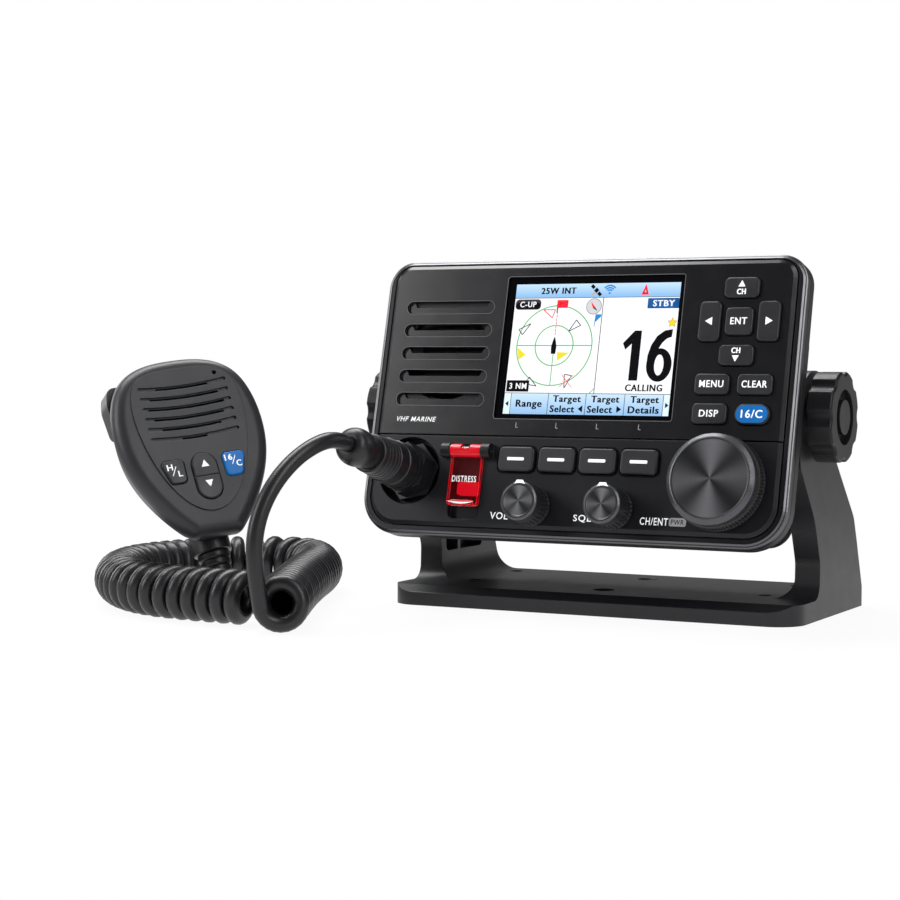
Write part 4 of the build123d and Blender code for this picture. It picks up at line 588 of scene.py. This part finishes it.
class Print:
    """Flat shapes on one plane, gathered by ink and made into one piece for each."""

    def __init__(self, name, place, body, slot):
        self.name, self.place, self.body, self.slot = name, place, body, slot
        self.inks = {}

    def shape(self, ink, points, faces, height):
        vertices, polygons = self.inks.setdefault(ink, ([], []))
        first = len(vertices)
        vertices.extend(self.place @ Vector((x, y, height)) for x, y in points)
        polygons.extend(tuple(first + index for index in face) for face in faces)

    def polygon(self, ink, points, height):
        self.shape(ink, points, [range(len(points))], height)

    def box(self, ink, left, right, bottom, top, height, radius=0.0, steps=5):
        """A rectangle, with rounded corners if radius isn't 0."""
        if radius > 0:
            self.polygon(ink, rounded(left, right, bottom, top, radius, steps), height)
        else:
            self.polygon(ink, [(left, bottom), (right, bottom), (right, top), (left, top)], height)

    def band(self, ink, outside, inside, height):
        """The strip between two outlines with as many points."""
        self.shape(ink, [*outside, *inside], grid(2, len(outside)), height)

    def ring(self, ink, x, y, radius, width, height, steps=64):
        lines = [ellipse(x, y, reach, reach, steps) for reach in (radius + width / 2, radius - width / 2)]
        self.band(ink, *lines, height)

    def disc(self, ink, x, y, radius, height, steps=40):
        self.polygon(ink, ellipse(x, y, radius, radius, steps), height)

    def line(self, ink, start, end, width, height):
        step = Vector(end) - Vector(start)
        side = Vector((-step.y, step.x)).normalized() * width / 2
        corners = [Vector(start) - side, Vector(end) - side, Vector(end) + side, Vector(start) + side]
        self.polygon(ink, [tuple(corner) for corner in corners], height)

    def outline(self, ink, points, width, height):
        for start, end in zip(points, [*points[1:], points[0]]):
            self.line(ink, start, end, width, height)

    def strip(self, ink, outside, inside, height):
        """The strip between two open lines with as many points."""
        self.shape(ink, [*outside, *inside], grid(2, len(outside), closed=False), height)

    def arc(self, ink, x, y, radius, width, first, last, height, steps=16):
        lines = [arc_points(x, y, reach, first, last, steps)
                 for reach in (radius + width / 2, radius - width / 2)]
        self.strip(ink, *lines, height)

    def words(self, ink, text, left, right, bottom, top, height, bold=0.0, slant=0.0):
        """Lettering that fills a box. Bold letters are drawn three times, this far apart."""
        curve = bpy.data.curves.new("words", "FONT")
        curve.body = text
        curve.size = 1.0
        curve.offset = LETTER_WEIGHT
        curve.space_character = LETTER_SPACING
        curve.shear = slant
        curve.resolution_u = 3
        holder = bpy.data.objects.new("words", curve)
        mesh = bpy.data.meshes.new_from_object(holder)
        points = np.array([vertex.co[:2] for vertex in mesh.vertices])
        faces = [tuple(face.vertices) for face in mesh.polygons]
        low, high = points.min(0), points.max(0)
        size = np.array([right - left - 2 * bold, top - bottom])
        points = ((points - low) / (high - low) - 0.5) * size
        points += ((left + right) / 2, (bottom + top) / 2)
        for shift in (-bold, 0.0, bold) if bold else (0.0,):
            self.shape(ink, [(x + shift, y) for x, y in points], faces, height + shift * BOLD_STEP)
        bpy.data.objects.remove(holder)
        bpy.data.curves.remove(curve)
        bpy.data.meshes.remove(mesh)

    def make(self):
        for ink, (vertices, faces) in self.inks.items():
            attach(piece(f"{self.name}_{ink}", vertices, faces, ink), self.body)


# Display picture ------------------------------------------
HEADER = 40.4  # lower edge of the top strip
FOOTER = 1.9  # upper edge of the bottom strip
CHART_END = 6.8
LAYER = 0.02  # one layer of the picture above the next
TARGET_LINE = 0.36
LABEL_BOLD = 0.06
TEXT_BOLD = 0.12
look.update({
    "white": screen_ink("lit_white", (0.93, 0.95, 0.97)),
    "black": screen_ink("lit_black", (0.003, 0.003, 0.004)),
    "grey": screen_ink("lit_grey", (0.05, 0.05, 0.06)),
    "pale": screen_ink("lit_pale", (0.66, 0.66, 0.68)),
    "green": screen_ink("lit_green", (0.13, 0.47, 0.15)),
    "rose": screen_ink("lit_rose", (0.80, 0.03, 0.06)),
    "yellow": screen_ink("lit_yellow", (0.85, 0.72, 0.03)),
    "orange": screen_ink("lit_orange", (0.75, 0.36, 0.02)),
    "sky": screen_ink("lit_sky", (0.03, 0.25, 0.68)),
    "header": screen_ink("lit_header", (0.60, 0.80, 0.97), (AREA[3], HEADER, (0.28, 0.52, 0.84))),
    "footer": screen_ink("lit_footer", (0.62, 0.80, 0.96), (FOOTER, AREA[2], (0.30, 0.53, 0.83))),
    "footer_end": screen_ink("lit_footer_end", (0.74, 0.88, 0.98)),
})
picture = Print("display", PANEL, "radio", "display")


def layer(number):
    return DISPLAY_FRONT + LAYER * (number + 1)


def chart():
    """Plan view round the own vessel: range rings, heading line, targets and labels."""
    x, y = -12.2, 21.1
    reach = 16.0
    picture.box("white", AREA[0], CHART_END, FOOTER, HEADER, layer(0))
    picture.ring("green", x, y, 16.1, 0.44, layer(1), 96)
    picture.ring("green", x, y, 8.1, 0.44, layer(1))
    picture.line("green", (x - reach, y), (x + reach, y), 0.42, layer(1))
    picture.line("green", (x, y - reach), (x, y - 2), 0.36, layer(1))
    picture.arc("green", x, y, 25.6, 0.36, -49.0, -41.8, layer(1))
    heading, dash, pitch = -12.25, 0.9, 1.45
    for step in range(9):
        start = 25.3 + step * pitch
        picture.line("rose", (heading, start), (heading, start + dash), 0.34, layer(2))
        picture.line("pale", (heading, start + dash), (heading, start + pitch), 0.30, layer(2))
    hull = [(-13.2, 17.7), (-11.3, 17.7), (-11.1, 20.6), (-11.6, 22.9), (-12.25, 24.8), (-12.9, 22.9),
            (-13.4, 20.6)]
    picture.polygon("black", hull, layer(3))
    picture.line("grey", (-12.5, 34.4), (-12.5, 39.6), 0.4, layer(3))
    picture.box("red", -12.4, -8.0, 36.3, 39.5, layer(4))
    for ink, *corners in (("rose", (-14.2, 32.3), (-18.3, 35.6), (-13.2, 35.6)),
                          ("grey", (-23.2, 30.0), (-26.4, 25.5), (-28.2, 27.6)),
                          ("grey", (-6.6, 26.8), (-3.7, 31.4), (-1.7, 29.2)),
                          ("grey", (-18.0, 4.7), (-21.3, 8.3), (-23.2, 5.6)),
                          ("grey", (-6.0, 4.0), (-6.4, 9.5), (-3.3, 9.0))):
        picture.outline(ink, corners, TARGET_LINE, layer(4))
    for corners in ([(-24.0, 17.4), (-28.0, 20.3), (-26.9, 15.2)],
                    [(-5.4, 18.2), (-10.6, 18.4), (-10.2, 14.9)]):
        picture.polygon("yellow", corners, layer(4))
    for start, end in (((-8.3, 4.3), (-2.5, 9.2)), ((-7.6, 9.4), (-2.8, 4.2))):
        picture.line("red", start, end, 0.24, layer(5))
    picture.box("grey", -30.8, -19.7, 35.7, 39.9, layer(4), 1.5)
    picture.box("black", -30.5, -20.0, 36.0, 38.6, layer(5), 1.2)
    picture.words("white", "C-UP", -28.8, -21.7, 36.7, 39.0, layer(6), LABEL_BOLD)
    picture.box("black", -30.7, -21.2, 2.5, 6.9, layer(4), 0.3)
    picture.outline("grey", [(-30.7, 2.5), (-21.2, 2.5), (-21.2, 6.9), (-30.7, 6.9)], 0.2, layer(5))
    picture.words("white", "3 NM", -29.6, -22.1, 3.5, 5.9, layer(6), LABEL_BOLD)
    picture.disc("grey", 3.1, 36.8, 3.25, layer(3))
    picture.disc("pale", 3.1, 36.8, 3.05, layer(4))
    picture.polygon("red", [(1.7, 38.9), (3.6, 36.6), (2.6, 36.2)], layer(5))
    picture.polygon("grey", [(4.9, 34.8), (3.6, 36.6), (2.6, 36.2)], layer(5))
    picture.line("sky", (4.0, 28.7), (4.3, 33.6), 0.3, layer(3))
    picture.polygon("sky", [(4.3, 33.6), (6.6, 33.6), (6.6, 32.7), (4.3, 30.4)], layer(4))
    picture.line("grey", (6.9, FOOTER), (6.9, HEADER), 0.3, layer(5))


def channel():
    """The working channel, in large figures."""
    picture.box("white", CHART_END, AREA[1], FOOTER, HEADER, layer(0))
    picture.box("blue", 25.5, 38.5, 35.8, 39.9, layer(1), 0.3)
    picture.words("white", "STBY", 27.7, 36.7, 36.6, 39.1, layer(2), 0.08)
    star = []
    for point in range(10):
        angle = math.radians(90 + 36 * point)
        reach = 2.0 if point % 2 == 0 else 0.95
        star.append((36.4 + reach * math.cos(angle), 30.1 + reach * math.sin(angle)))
    picture.polygon("yellow", star, layer(1))
    picture.outline("orange", star, 0.25, layer(2))
    one = [(20.6, 7.2), (24.3, 7.2), (24.3, 27.0), (21.4, 27.0), (16.9, 22.0), (18.1, 19.4), (20.6, 21.8)]
    picture.polygon("black", one, layer(1))
    bowl = [ellipse(32.6, 13.4, wide, tall, 48) for wide, tall in ((5.2, 6.6), (1.9, 4.1))]
    picture.band("black", *bowl, layer(1))
    outer = [(27.4, 13.0), (27.6, 17.2), (28.7, 21.2), (30.8, 24.8), (33.8, 27.0), (37.0, 27.5)]
    inner = [(30.7, 13.0), (30.9, 16.6), (31.7, 19.6), (33.2, 22.2), (34.9, 23.8), (36.8, 24.5)]
    picture.strip("black", outer, inner, layer(2))
    picture.words("black", "CALLING", 19.6, 35.0, 3.0, 5.7, layer(1), TEXT_BOLD)


def header():
    """Power and position source, then small signs."""
    picture.box("header", AREA[0], AREA[1], HEADER, AREA[3], layer(0))
    picture.line("grey", (AREA[0], HEADER), (AREA[1], HEADER), 0.22, layer(1))
    picture.words("black", "25W INT", -20.2, -5.1, 42.0, 44.6, layer(1), TEXT_BOLD)
    x, y = 3.4, 43.3  # satellite
    for near, far in ((-0.9, -2.1), (0.9, 2.1)):
        picture.line("black", (x + near, y - near), (x + far, y - far), 1.3, layer(1))
    picture.line("black", (2.9, 42.7), (4.1, 43.9), 1.6, layer(2))
    picture.line("orange", (1.9, 41.5), (2.8, 42.3), 0.7, layer(2))
    x = 9.1  # wireless link
    for radius in (1.2, 2.1, 3.0):
        picture.arc("sky", x, 42.2, radius, 0.6, 40, 140, layer(1))
    picture.disc("sky", x, 42.1, 0.45, layer(1), 16)
    for number, (ink, *corners) in enumerate((("red", (22.5, 41.3), (25.6, 41.3), (24.2, 45.6)),
                                              ("black", (23.6, 42.0), (24.7, 42.0), (24.15, 44.2)),
                                              ("pale", (23.8, 42.2), (24.5, 42.2), (24.15, 43.6)))):
        picture.polygon(ink, corners, layer(number + 1))


def footer():
    """Names of what the four soft keys do."""
    cells = [AREA[0], -28.3, -12.2, 3.8, 20.0, 35.9, AREA[1]]
    for cell, (left, right) in enumerate(zip(cells, cells[1:])):
        ink = "footer_end" if cell in (0, 5) else "footer"
        picture.box(ink, left, right, AREA[2], FOOTER, layer(0))
        if cell:
            picture.line("grey", (left, AREA[2]), (left, FOOTER), 0.24, layer(1))
    picture.line("grey", (AREA[0], FOOTER), (AREA[1], FOOTER), 0.24, layer(1))
    upper, lower = (-2.4, 1.1), (-5.7, -2.9)
    for text, left, right, row in (("Range", -26.0, -14.7, (-4.6, -0.8)), ("Target", -10.2, 1.8, upper),
                                   ("Select", -11.1, -0.6, lower), ("Target", 6.0, 17.9, upper),
                                   ("Select", 4.7, 15.3, lower), ("Target", 22.4, 34.2, upper),
                                   ("Details", 21.7, 34.5, lower)):
        picture.words("black", text, left, right, *row, layer(1), 0.13)
    for tip, base, y, half in ((0.8, 2.7, -4.2, 1.4), (19.0, 17.0, -4.2, 1.4), (-30.6, -29.2, -2.4, 1.1),
                               (38.2, 36.8, -2.4, 1.1)):
        picture.polygon("black", [(tip, y), (base, y + half), (base, y - half)], layer(1))


for part in (chart, channel, header, footer):
    part()
picture.make()


# Lettering on the panel -----------------------------------
LETTER_TALL = 2.7
LETTER_BOLD = 0.05


def triangle(board, ink, x, y, size, direction, height):
    """An arrowhead: direction is in degrees, 0 to the right."""
    points = []
    for angle, reach in ((0, 1.0), (125, 1.15), (235, 1.15)):
        turned = math.radians(direction + angle)
        points.append((x + size * reach * math.cos(turned), y + size * reach * math.sin(turned)))
    board.polygon(ink, points, height)


def legend(key):
    return Print(f"legend_{key}", PANEL, key, "key_plastic")


def key_words(key, text, x, y, wide, tall=LETTER_TALL, pad=None):
    """Lettering on a key, on a blue stadium if pad gives one's size."""
    board = legend(key)
    if pad:
        board.box("blue", *sides_of(x, y, *pad), KEY_TOP + INK, pad[1] / 2 - 0.05, 10)
    board.words("print", text, *sides_of(x, y, wide, tall), KEY_TOP + 2 * INK, LETTER_BOLD)
    board.make()


def frame_line(x, y, wide, tall, width, radius, ink="outline"):
    """A narrow line round a rectangle with rounded corners: in the outline ink a painted highlight along a
    step's edge, in the shadow ink a painted shadow.
    """
    left, right, bottom, top = sides_of(x, y, wide, tall)
    lines = [rounded(left - grow, right + grow, bottom - grow, top + grow, radius + grow, 8)
             for grow in (width, 0.0)]
    panel_print.band(ink, *lines, INK)


panel_print = Print("panel_print", PANEL, "radio", "front_plastic")
panel_print.words("print", "VHF MARINE", -77.2, -59.4, -10.7, -8.7, INK, slant=0.25)
for text, *box in (("VOL", -30.7, -23.0, -49.0, -46.2), ("SQL", 4.7, 12.2, -49.0, -46.0),
                   ("CH/ENT", 32.1, 43.4, -48.9, -46.0)):
    panel_print.words("print", text, *box, INK)
panel_print.box("print_grey", 43.8, 50.6, -49.0, -45.8, INK, 0.8)
# The PWR letters are dark print in the shadow ink's black.
panel_print.words("shadow", "PWR", 44.6, 49.8, -48.4, -46.4, 2 * INK)
for x in (-23.9, -6.8, 10.3, 27.7):
    for end in ((x, -10.4), (x + 0.9, -12.4)):
        panel_print.line("print_grey", (x, -12.4), end, 0.3, INK)
# Lines of painted highlight round the display window and the slots.
frame_line(*WINDOW, 0.3, 0.9)
for row in range(SLOT_COUNT):
    frame_line(SLOT_X, SLOT_TOP_Y - row * SLOT_PITCH, SLOT_LENGTH, SLOT_HEIGHT, 0.22, SLOT_HEIGHT / 2)
# Dark rings round the soft keys' openings: painted shadow.
for number in range(SOFTKEY_COUNT):
    frame_line(SOFTKEY_X + number * SOFTKEY_PITCH, SOFTKEY_Y, *SOFTKEY_GAP, 0.55, 2.2, "shadow")
panel_print.make()

left_row, right_row = PAD[0] - ROW_HALF_PITCH, PAD[0] + ROW_HALF_PITCH
key_words("key_menu", "MENU", left_row, ROW_Y[0], 9.6)
key_words("key_clear", "CLEAR", right_row, ROW_Y[0], 10.0)
key_words("key_disp", "DISP", left_row, ROW_Y[1], 7.6)
key_words("key_16", "16/C", right_row, ROW_Y[1], 8.4, 3.1, (12.4, 6.7))
key_words("key_ent", "ENT", *PAD, 6.6)
for key, side in (("key_up", 1), ("key_down", -1)):
    board = legend(key)
    y = PAD[1] + side * UP_OFFSET
    triangle(board, "print", PAD[0], y + side * 1.2, 1.5, side * 90, KEY_TOP + INK)
    board.words("print", "CH", *sides_of(PAD[0], y - side * 1.7, 3.6, 2.2), KEY_TOP + INK, TEXT_BOLD)
    board.make()
for key, side, direction in (("key_left", -1, 180), ("key_right", 1, 0)):
    board = legend(key)
    triangle(board, "print", PAD[0] + side * SIDE_OFFSET, PAD[1], 1.7, direction, KEY_TOP + INK)
    board.make()
for number in range(SOFTKEY_COUNT):
    key = f"softkey_{number + 1}"
    board = legend(key)
    bar = sides_of(SOFTKEY_X + number * SOFTKEY_PITCH, SOFTKEY_Y, *SOFTKEY_BAR)
    board.box("print", *bar, KEY_TOP + INK, 0.4)
    board.make()

guard_print = Print("guard_print", PANEL, "distress_cover", "red_plastic")
guard_print.words("print", "DISTRESS", GUARD_X - 5.3, GUARD_X + 5.3, -35.1, -32.6, GUARD_FRONT + INK)
guard_print.make()

# Lettering on the hand microphone -------------------------
GRIP_PRINT = GRIP_KEY_TOP + INK
for name, key, slot, bar, texts in (
        ("legend_hl", "handset_key_hl", "key_plastic", ((-13.9, -14.7), (-11.9, -11.0)),
         (("H", -15.6, -13.2, -12.4, -9.9), ("L", -11.6, -9.9, -15.3, -12.9))),
        ("legend_16", "handset_key_16", "blue_plastic", ((11.3, -13.7), (13.2, -10.2)),
         (("16", 8.6, 11.9, -11.9, -9.3), ("C", 13.0, 15.2, -14.8, -12.2)))):
    board = Print(name, GRIP, key, slot)
    for text, *box in texts:
        board.words("print", text, *box, GRIP_PRINT, LETTER_BOLD)
    board.line("print", *bar, 0.32, GRIP_PRINT)
    board.make()
rocker_print = Print("legend_rocker", GRIP, "handset_rocker", "key_plastic")
triangle(rocker_print, "print", 0.1, -11.7, 1.7, 90, GRIP_PRINT)
triangle(rocker_print, "print", 0.0, -19.6, 1.7, -90, GRIP_PRINT)
rocker_print.make()


# Knobs ----------------------------------------------------
RIB_SHAPE = (0, 0, 0, 1, 1, 1)  # six steps round the knob for each rib
SMALL_RIBS = 30
DIAL_RIBS = 84
PLUG_RIBS = 14
small_profile = [("knob", 0, [(6.0, 1.0), (7.6, 1.0), (8.0, 1.4), (8.0, 2.2)]),
                 ("knob", 0.35, [(8.0, 2.4), (7.8, 8.3)]), ("knob", 0, [(7.7, 8.6), (7.6, 12.6)]),
                 ("rim", 0, [(7.4, 12.9), (6.8, 13.4)]), ("knob", 0, [(6.3, 13.5), (5.9, 13.3)]),
                 ("turned", 0, [(5.8, 13.2), (3.0, 13.2), (0.4, 13.2)])]
dial_profile = [("knob", 0, [(14.0, 2.3), (17.6, 2.3), (18.0, 2.7), (18.0, 3.2)]),
                ("knob", 0.5, [(18.0, 3.4), (17.9, 7.4)]),
                ("knob", 0, [(17.7, 7.8), (17.2, 8.0), (17.2, 11.6)]),
                ("rim", 0, [(17.0, 11.9), (15.6, 13.1), (15.1, 13.2)]), ("knob", 0, [(14.7, 13.1)]),
                ("turned", 0, [(14.6, 12.9), (8.0, 12.9), (0.5, 12.9)])]
POINTER_FRONT = 13.4
POINTER_LOW = (6.4, 2.3)  # out from the knob's middle, and half width
POINTER_TOP = (8.0, 1.3)

# The microphone plug: two smooth steps, then fine grooves up to the boot
PLUG_BASE = [(5.6, -2.9), (5.6, 6.2), (7.3, 6.2), (7.3, 9.3), (8.8, 9.3), (9.1, 9.7), (9.1, 15.6),
             (8.7, 16.0), (8.7, 22.2), (8.4, 22.5)]
PLUG_END = [(7.7, 33.6), (7.2, 34.0), (2.0, 34.0)]
GROOVE_COUNT = 4
GROOVE_RADIUS = 8.3
GROOVE_TAPER = 0.16
GROOVE_FIRST = 23.4
GROOVE_PITCH = 2.3
GROOVE_DEPTH = 0.4
GROOVE_STEPS = ((0, 0), (GROOVE_DEPTH, 0.25), (GROOVE_DEPTH, 0.75), (0, 1.0))


def turned_knob(name, x, y, profile, ribs, body, node_name, slot="knob_plastic"):
    """A knob on the panel from its side profile, which goes from the back to the middle of its face
    in stretches: finish, rib depth, and points as radius and height."""
    steps = ribs * len(RIB_SHAPE)
    rings = [(*point, rib, finish) for finish, rib, points in profile for point in points]
    vertices = []
    for radius, height, rib, _ in rings:
        for step in range(steps):
            angle = 2 * math.pi * (step + 0.5) / steps
            reach = radius - rib * RIB_SHAPE[step % len(RIB_SHAPE)]
            vertices.append((reach * math.cos(angle) * MM, reach * math.sin(angle) * MM, height * MM))
    ends = [tuple(range(steps))[::-1], tuple(range(len(vertices) - steps, len(vertices)))]
    used = list(dict.fromkeys(finish for *_, finish in rings[1:]))
    indices = [used.index(finish) for *_, finish in rings[1:]]
    made = piece(name, vertices, grid(len(rings), steps) + ends, used[0])
    for finish in used[1:]:
        made.data.materials.append(look[finish])
    made.data.polygons.foreach_set("material_index", [*np.repeat(indices, steps), 0, indices[-1]])
    made.matrix_world = PANEL @ Matrix.Translation((x, y, 0)) @ Matrix.Scale(1 / MM, 4)
    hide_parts(node_name)
    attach(made, body)
    return made


for name, x in KNOB_X.items():
    turned_knob(f"{name}_control", x, SMALL_KNOB_Y, small_profile, SMALL_RIBS, name, f"{name}_knob")
    pointer = Print(f"{name}_pointer", PANEL, name, "knob_plastic")
    corners = [(*POINTER_LOW, -1), (*POINTER_LOW, 1), (*POINTER_TOP, 1), (*POINTER_TOP, -1)]
    pointer.polygon("print", [(x + side * half, SMALL_KNOB_Y + reach) for reach, half, side in corners],
                    POINTER_FRONT)
    pointer.make()
turned_knob("channel_dial", *DIAL, dial_profile, DIAL_RIBS, "dial", "dial_knob")

grooves = [(GROOVE_RADIUS - GROOVE_TAPER * number - depth, GROOVE_FIRST + GROOVE_PITCH * number + rise)
           for number in range(GROOVE_COUNT) for depth, rise in GROOVE_STEPS]
plug_profile = [("rubber", 0, PLUG_BASE + grooves + PLUG_END)]
plug_barrel = turned_knob("plug_barrel", *SOCKET, plug_profile, PLUG_RIBS, "radio", "mic_plug", "rubber")


# Panel edge and distress guard ----------------------------
BEZEL = [(-0.05, -2.7), (0.12, -1.82), (1.66, -0.70), (1.72, -1.3)]  # inset and height
CORNER_STEPS = 16
SKIN_STEPS = 20
LIP_STEPS = 16


def rim_line(inset, height):
    """The panel's outline, drawn in by inset, at a height."""
    half, rise = PANEL_SIZE[0] / 2 - inset, PANEL_SIZE[1] / 2 - inset
    outline = rounded(-half, half, -rise, rise, PANEL_TOP_RADIUS - inset, CORNER_STEPS,
                      PANEL_LOW_RADIUS - inset)
    return [PANEL @ Vector((x, y, height)) for x, y in outline]


def swept(name, lines, finish, body, closed=True):
    """A skin over lines of as many points each."""
    made = piece(name, [point for line in lines for point in line], grid(len(lines), len(lines[0]), closed),
                 finish)
    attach(made, body)


# The bezel strip round the panel carries a painted highlight in its lighter, more metallic colour.
swept("bezel", [rim_line(*corner) for corner in BEZEL], "bezel", "radio")
outer_start, middle_start, skin_end = BARREL_SKIN
for side, left, right, first in (("left", -BARREL_END, -BARREL_SPLIT, outer_start),
                                 ("middle", -BARREL_SPLIT, BARREL_SPLIT, middle_start),
                                 ("right", BARREL_SPLIT, BARREL_END, outer_start)):
    skin = arc_points(*HINGE, BARREL_RADIUS, first, skin_end, SKIN_STEPS)
    ends = [[PANEL @ Vector((GUARD_X + x, y, height)) for y, height in skin] for x in (left, right)]
    swept(f"guard_barrel_{side}", ends, "guard_solid", "distress_cover", closed=False)

# A white strip along the guard's lower lip, in the print ink: a painted highlight.
guard_lip_highlight = Print("guard_lip_highlight", PANEL, "distress_cover", "red_plastic")
across = [LIP_HALF * (2 * step / LIP_STEPS - 1) for step in range(LIP_STEPS + 1)]
upper, lower = ([(GUARD_X + x, LIP_Y - sag * (1 - (x / LIP_HALF) ** 2)) for x in across] for sag in LIP_SAGS)
guard_lip_highlight.strip("print", lower, upper, LIP_FRONT)
guard_lip_highlight.make()

# Stage: floor, lamps and world ----------------------------
FLOOR_HALF = 1.0
FLOOR_DROP = 0.0002  # below the bracket's underside
FLOOR_COLOUR = (0.90, 0.90, 0.90, 1.0)
FLOOR_LIFT = 0.94  # how far the floor is lifted to white where it is seen
FLOOR_FADE = (0.34, 0.55)  # distances between which it fades into the backdrop
WORLD_RISE = (0.02, 0.25)  # heights between which the world's strength changes
WORLD_LOW = 0.5  # world's strength near the horizon
WORLD_HIGH = 0.12  # world's strength overhead, as reflections show it
WORLD_FILL = 0.40  # its share as light on the object
MIDDLE = (-0.05, -0.05, 0.07)  # where the lamps aim


def seen_rays(tree):
    """1 for rays from the camera, and 1 for these and those that metal or glass sends on."""
    rays = node(tree, "LightPath").outputs
    direct = calc(tree, "MAXIMUM", rays["Is Camera Ray"], rays["Is Glossy Ray"])
    return rays["Is Camera Ray"], calc(tree, "MAXIMUM", direct, rays["Is Transmission Ray"])


def make_floor():
    """A plain pale floor that keeps the object's shadow."""
    look["floor"], tree, shader, where = new_material("floor")
    feed(tree, shader, {"Base Color": FLOOR_COLOUR, "Roughness": 0.9, "Specular IOR Level": 0.0})
    glow = node(tree, "Emission", {"Color": WHITE, "Strength": 1.0})
    lift = calc(tree, "MULTIPLY", seen_rays(tree)[1], FLOOR_LIFT)
    lifted = node(tree, "MixShader", {0: lift, 1: shader.outputs[0], 2: glow.outputs[0]})
    far = node(tree, "VectorMath", {0: where}, operation="LENGTH").outputs["Value"]
    gone = node(tree, "MixShader", {0: mapped(tree, far, 0.0, 1.0, *FLOOR_FADE), 1: lifted.outputs[0],
                                    2: node(tree, "BsdfTransparent").outputs[0]})
    feed(tree, tree.nodes["Material Output"], {"Surface": gone.outputs[0]})
    corners = [(x * FLOOR_HALF, y * FLOOR_HALF, 0) for x, y in ((-1, -1), (1, -1), (1, 1), (-1, 1))]
    floor = piece("floor", corners, [(0, 1, 2, 3)], "floor")
    floor.location.z = -FLOOR_DROP


def make_world():
    """Even light, weaker overhead, and white where the camera sees it."""
    world = bpy.data.worlds.new("studio")
    bpy.context.scene.world = world
    world.use_nodes = True
    tree = world.node_tree
    camera_rays, seen = seen_rays(tree)
    height = node(tree, "SeparateXYZ", {0: node(tree, "TexCoord").outputs["Generated"]}).outputs["Z"]
    sky = calc(tree, "MAXIMUM", mapped(tree, height, WORLD_LOW, WORLD_HIGH, *WORLD_RISE), camera_rays)
    strength = calc(tree, "MULTIPLY", sky, mapped(tree, seen, WORLD_FILL, 1.0))
    feed(tree, tree.nodes["Background"], {"Strength": strength, "Color": WHITE})


def lamp(name, place, wide, tall, watts):
    """A soft box that looks at the middle."""
    data = bpy.data.lights.new(name, "AREA")
    data.shape = "RECTANGLE"
    data.size = wide
    data.size_y = tall
    data.energy = watts
    made = bpy.data.objects.new(name, data)
    made.location = place
    made.rotation_euler = (Vector(MIDDLE) - Vector(place)).to_track_quat("-Z", "Y").to_euler()
    bpy.context.scene.collection.objects.link(made)


make_floor()
make_world()
lamp("top_box", (-0.38, 0.13, 0.92), 1.1, 0.4, 13.0)
lamp("left_box", (-0.68, -0.645, 0.42), 0.24, 0.5, 3.0)
lamp("rim_box", (-0.90, 0.20, 0.30), 0.4, 0.5, 1.6)
lamp("side_box", (0.76, -0.49, 0.46), 0.2, 0.5, 2.0)
lamp("right_box", (0.52, -0.32, 0.72), 0.30, 0.5, 1.6)

bpy.context.scene.view_settings.view_transform = "Standard"
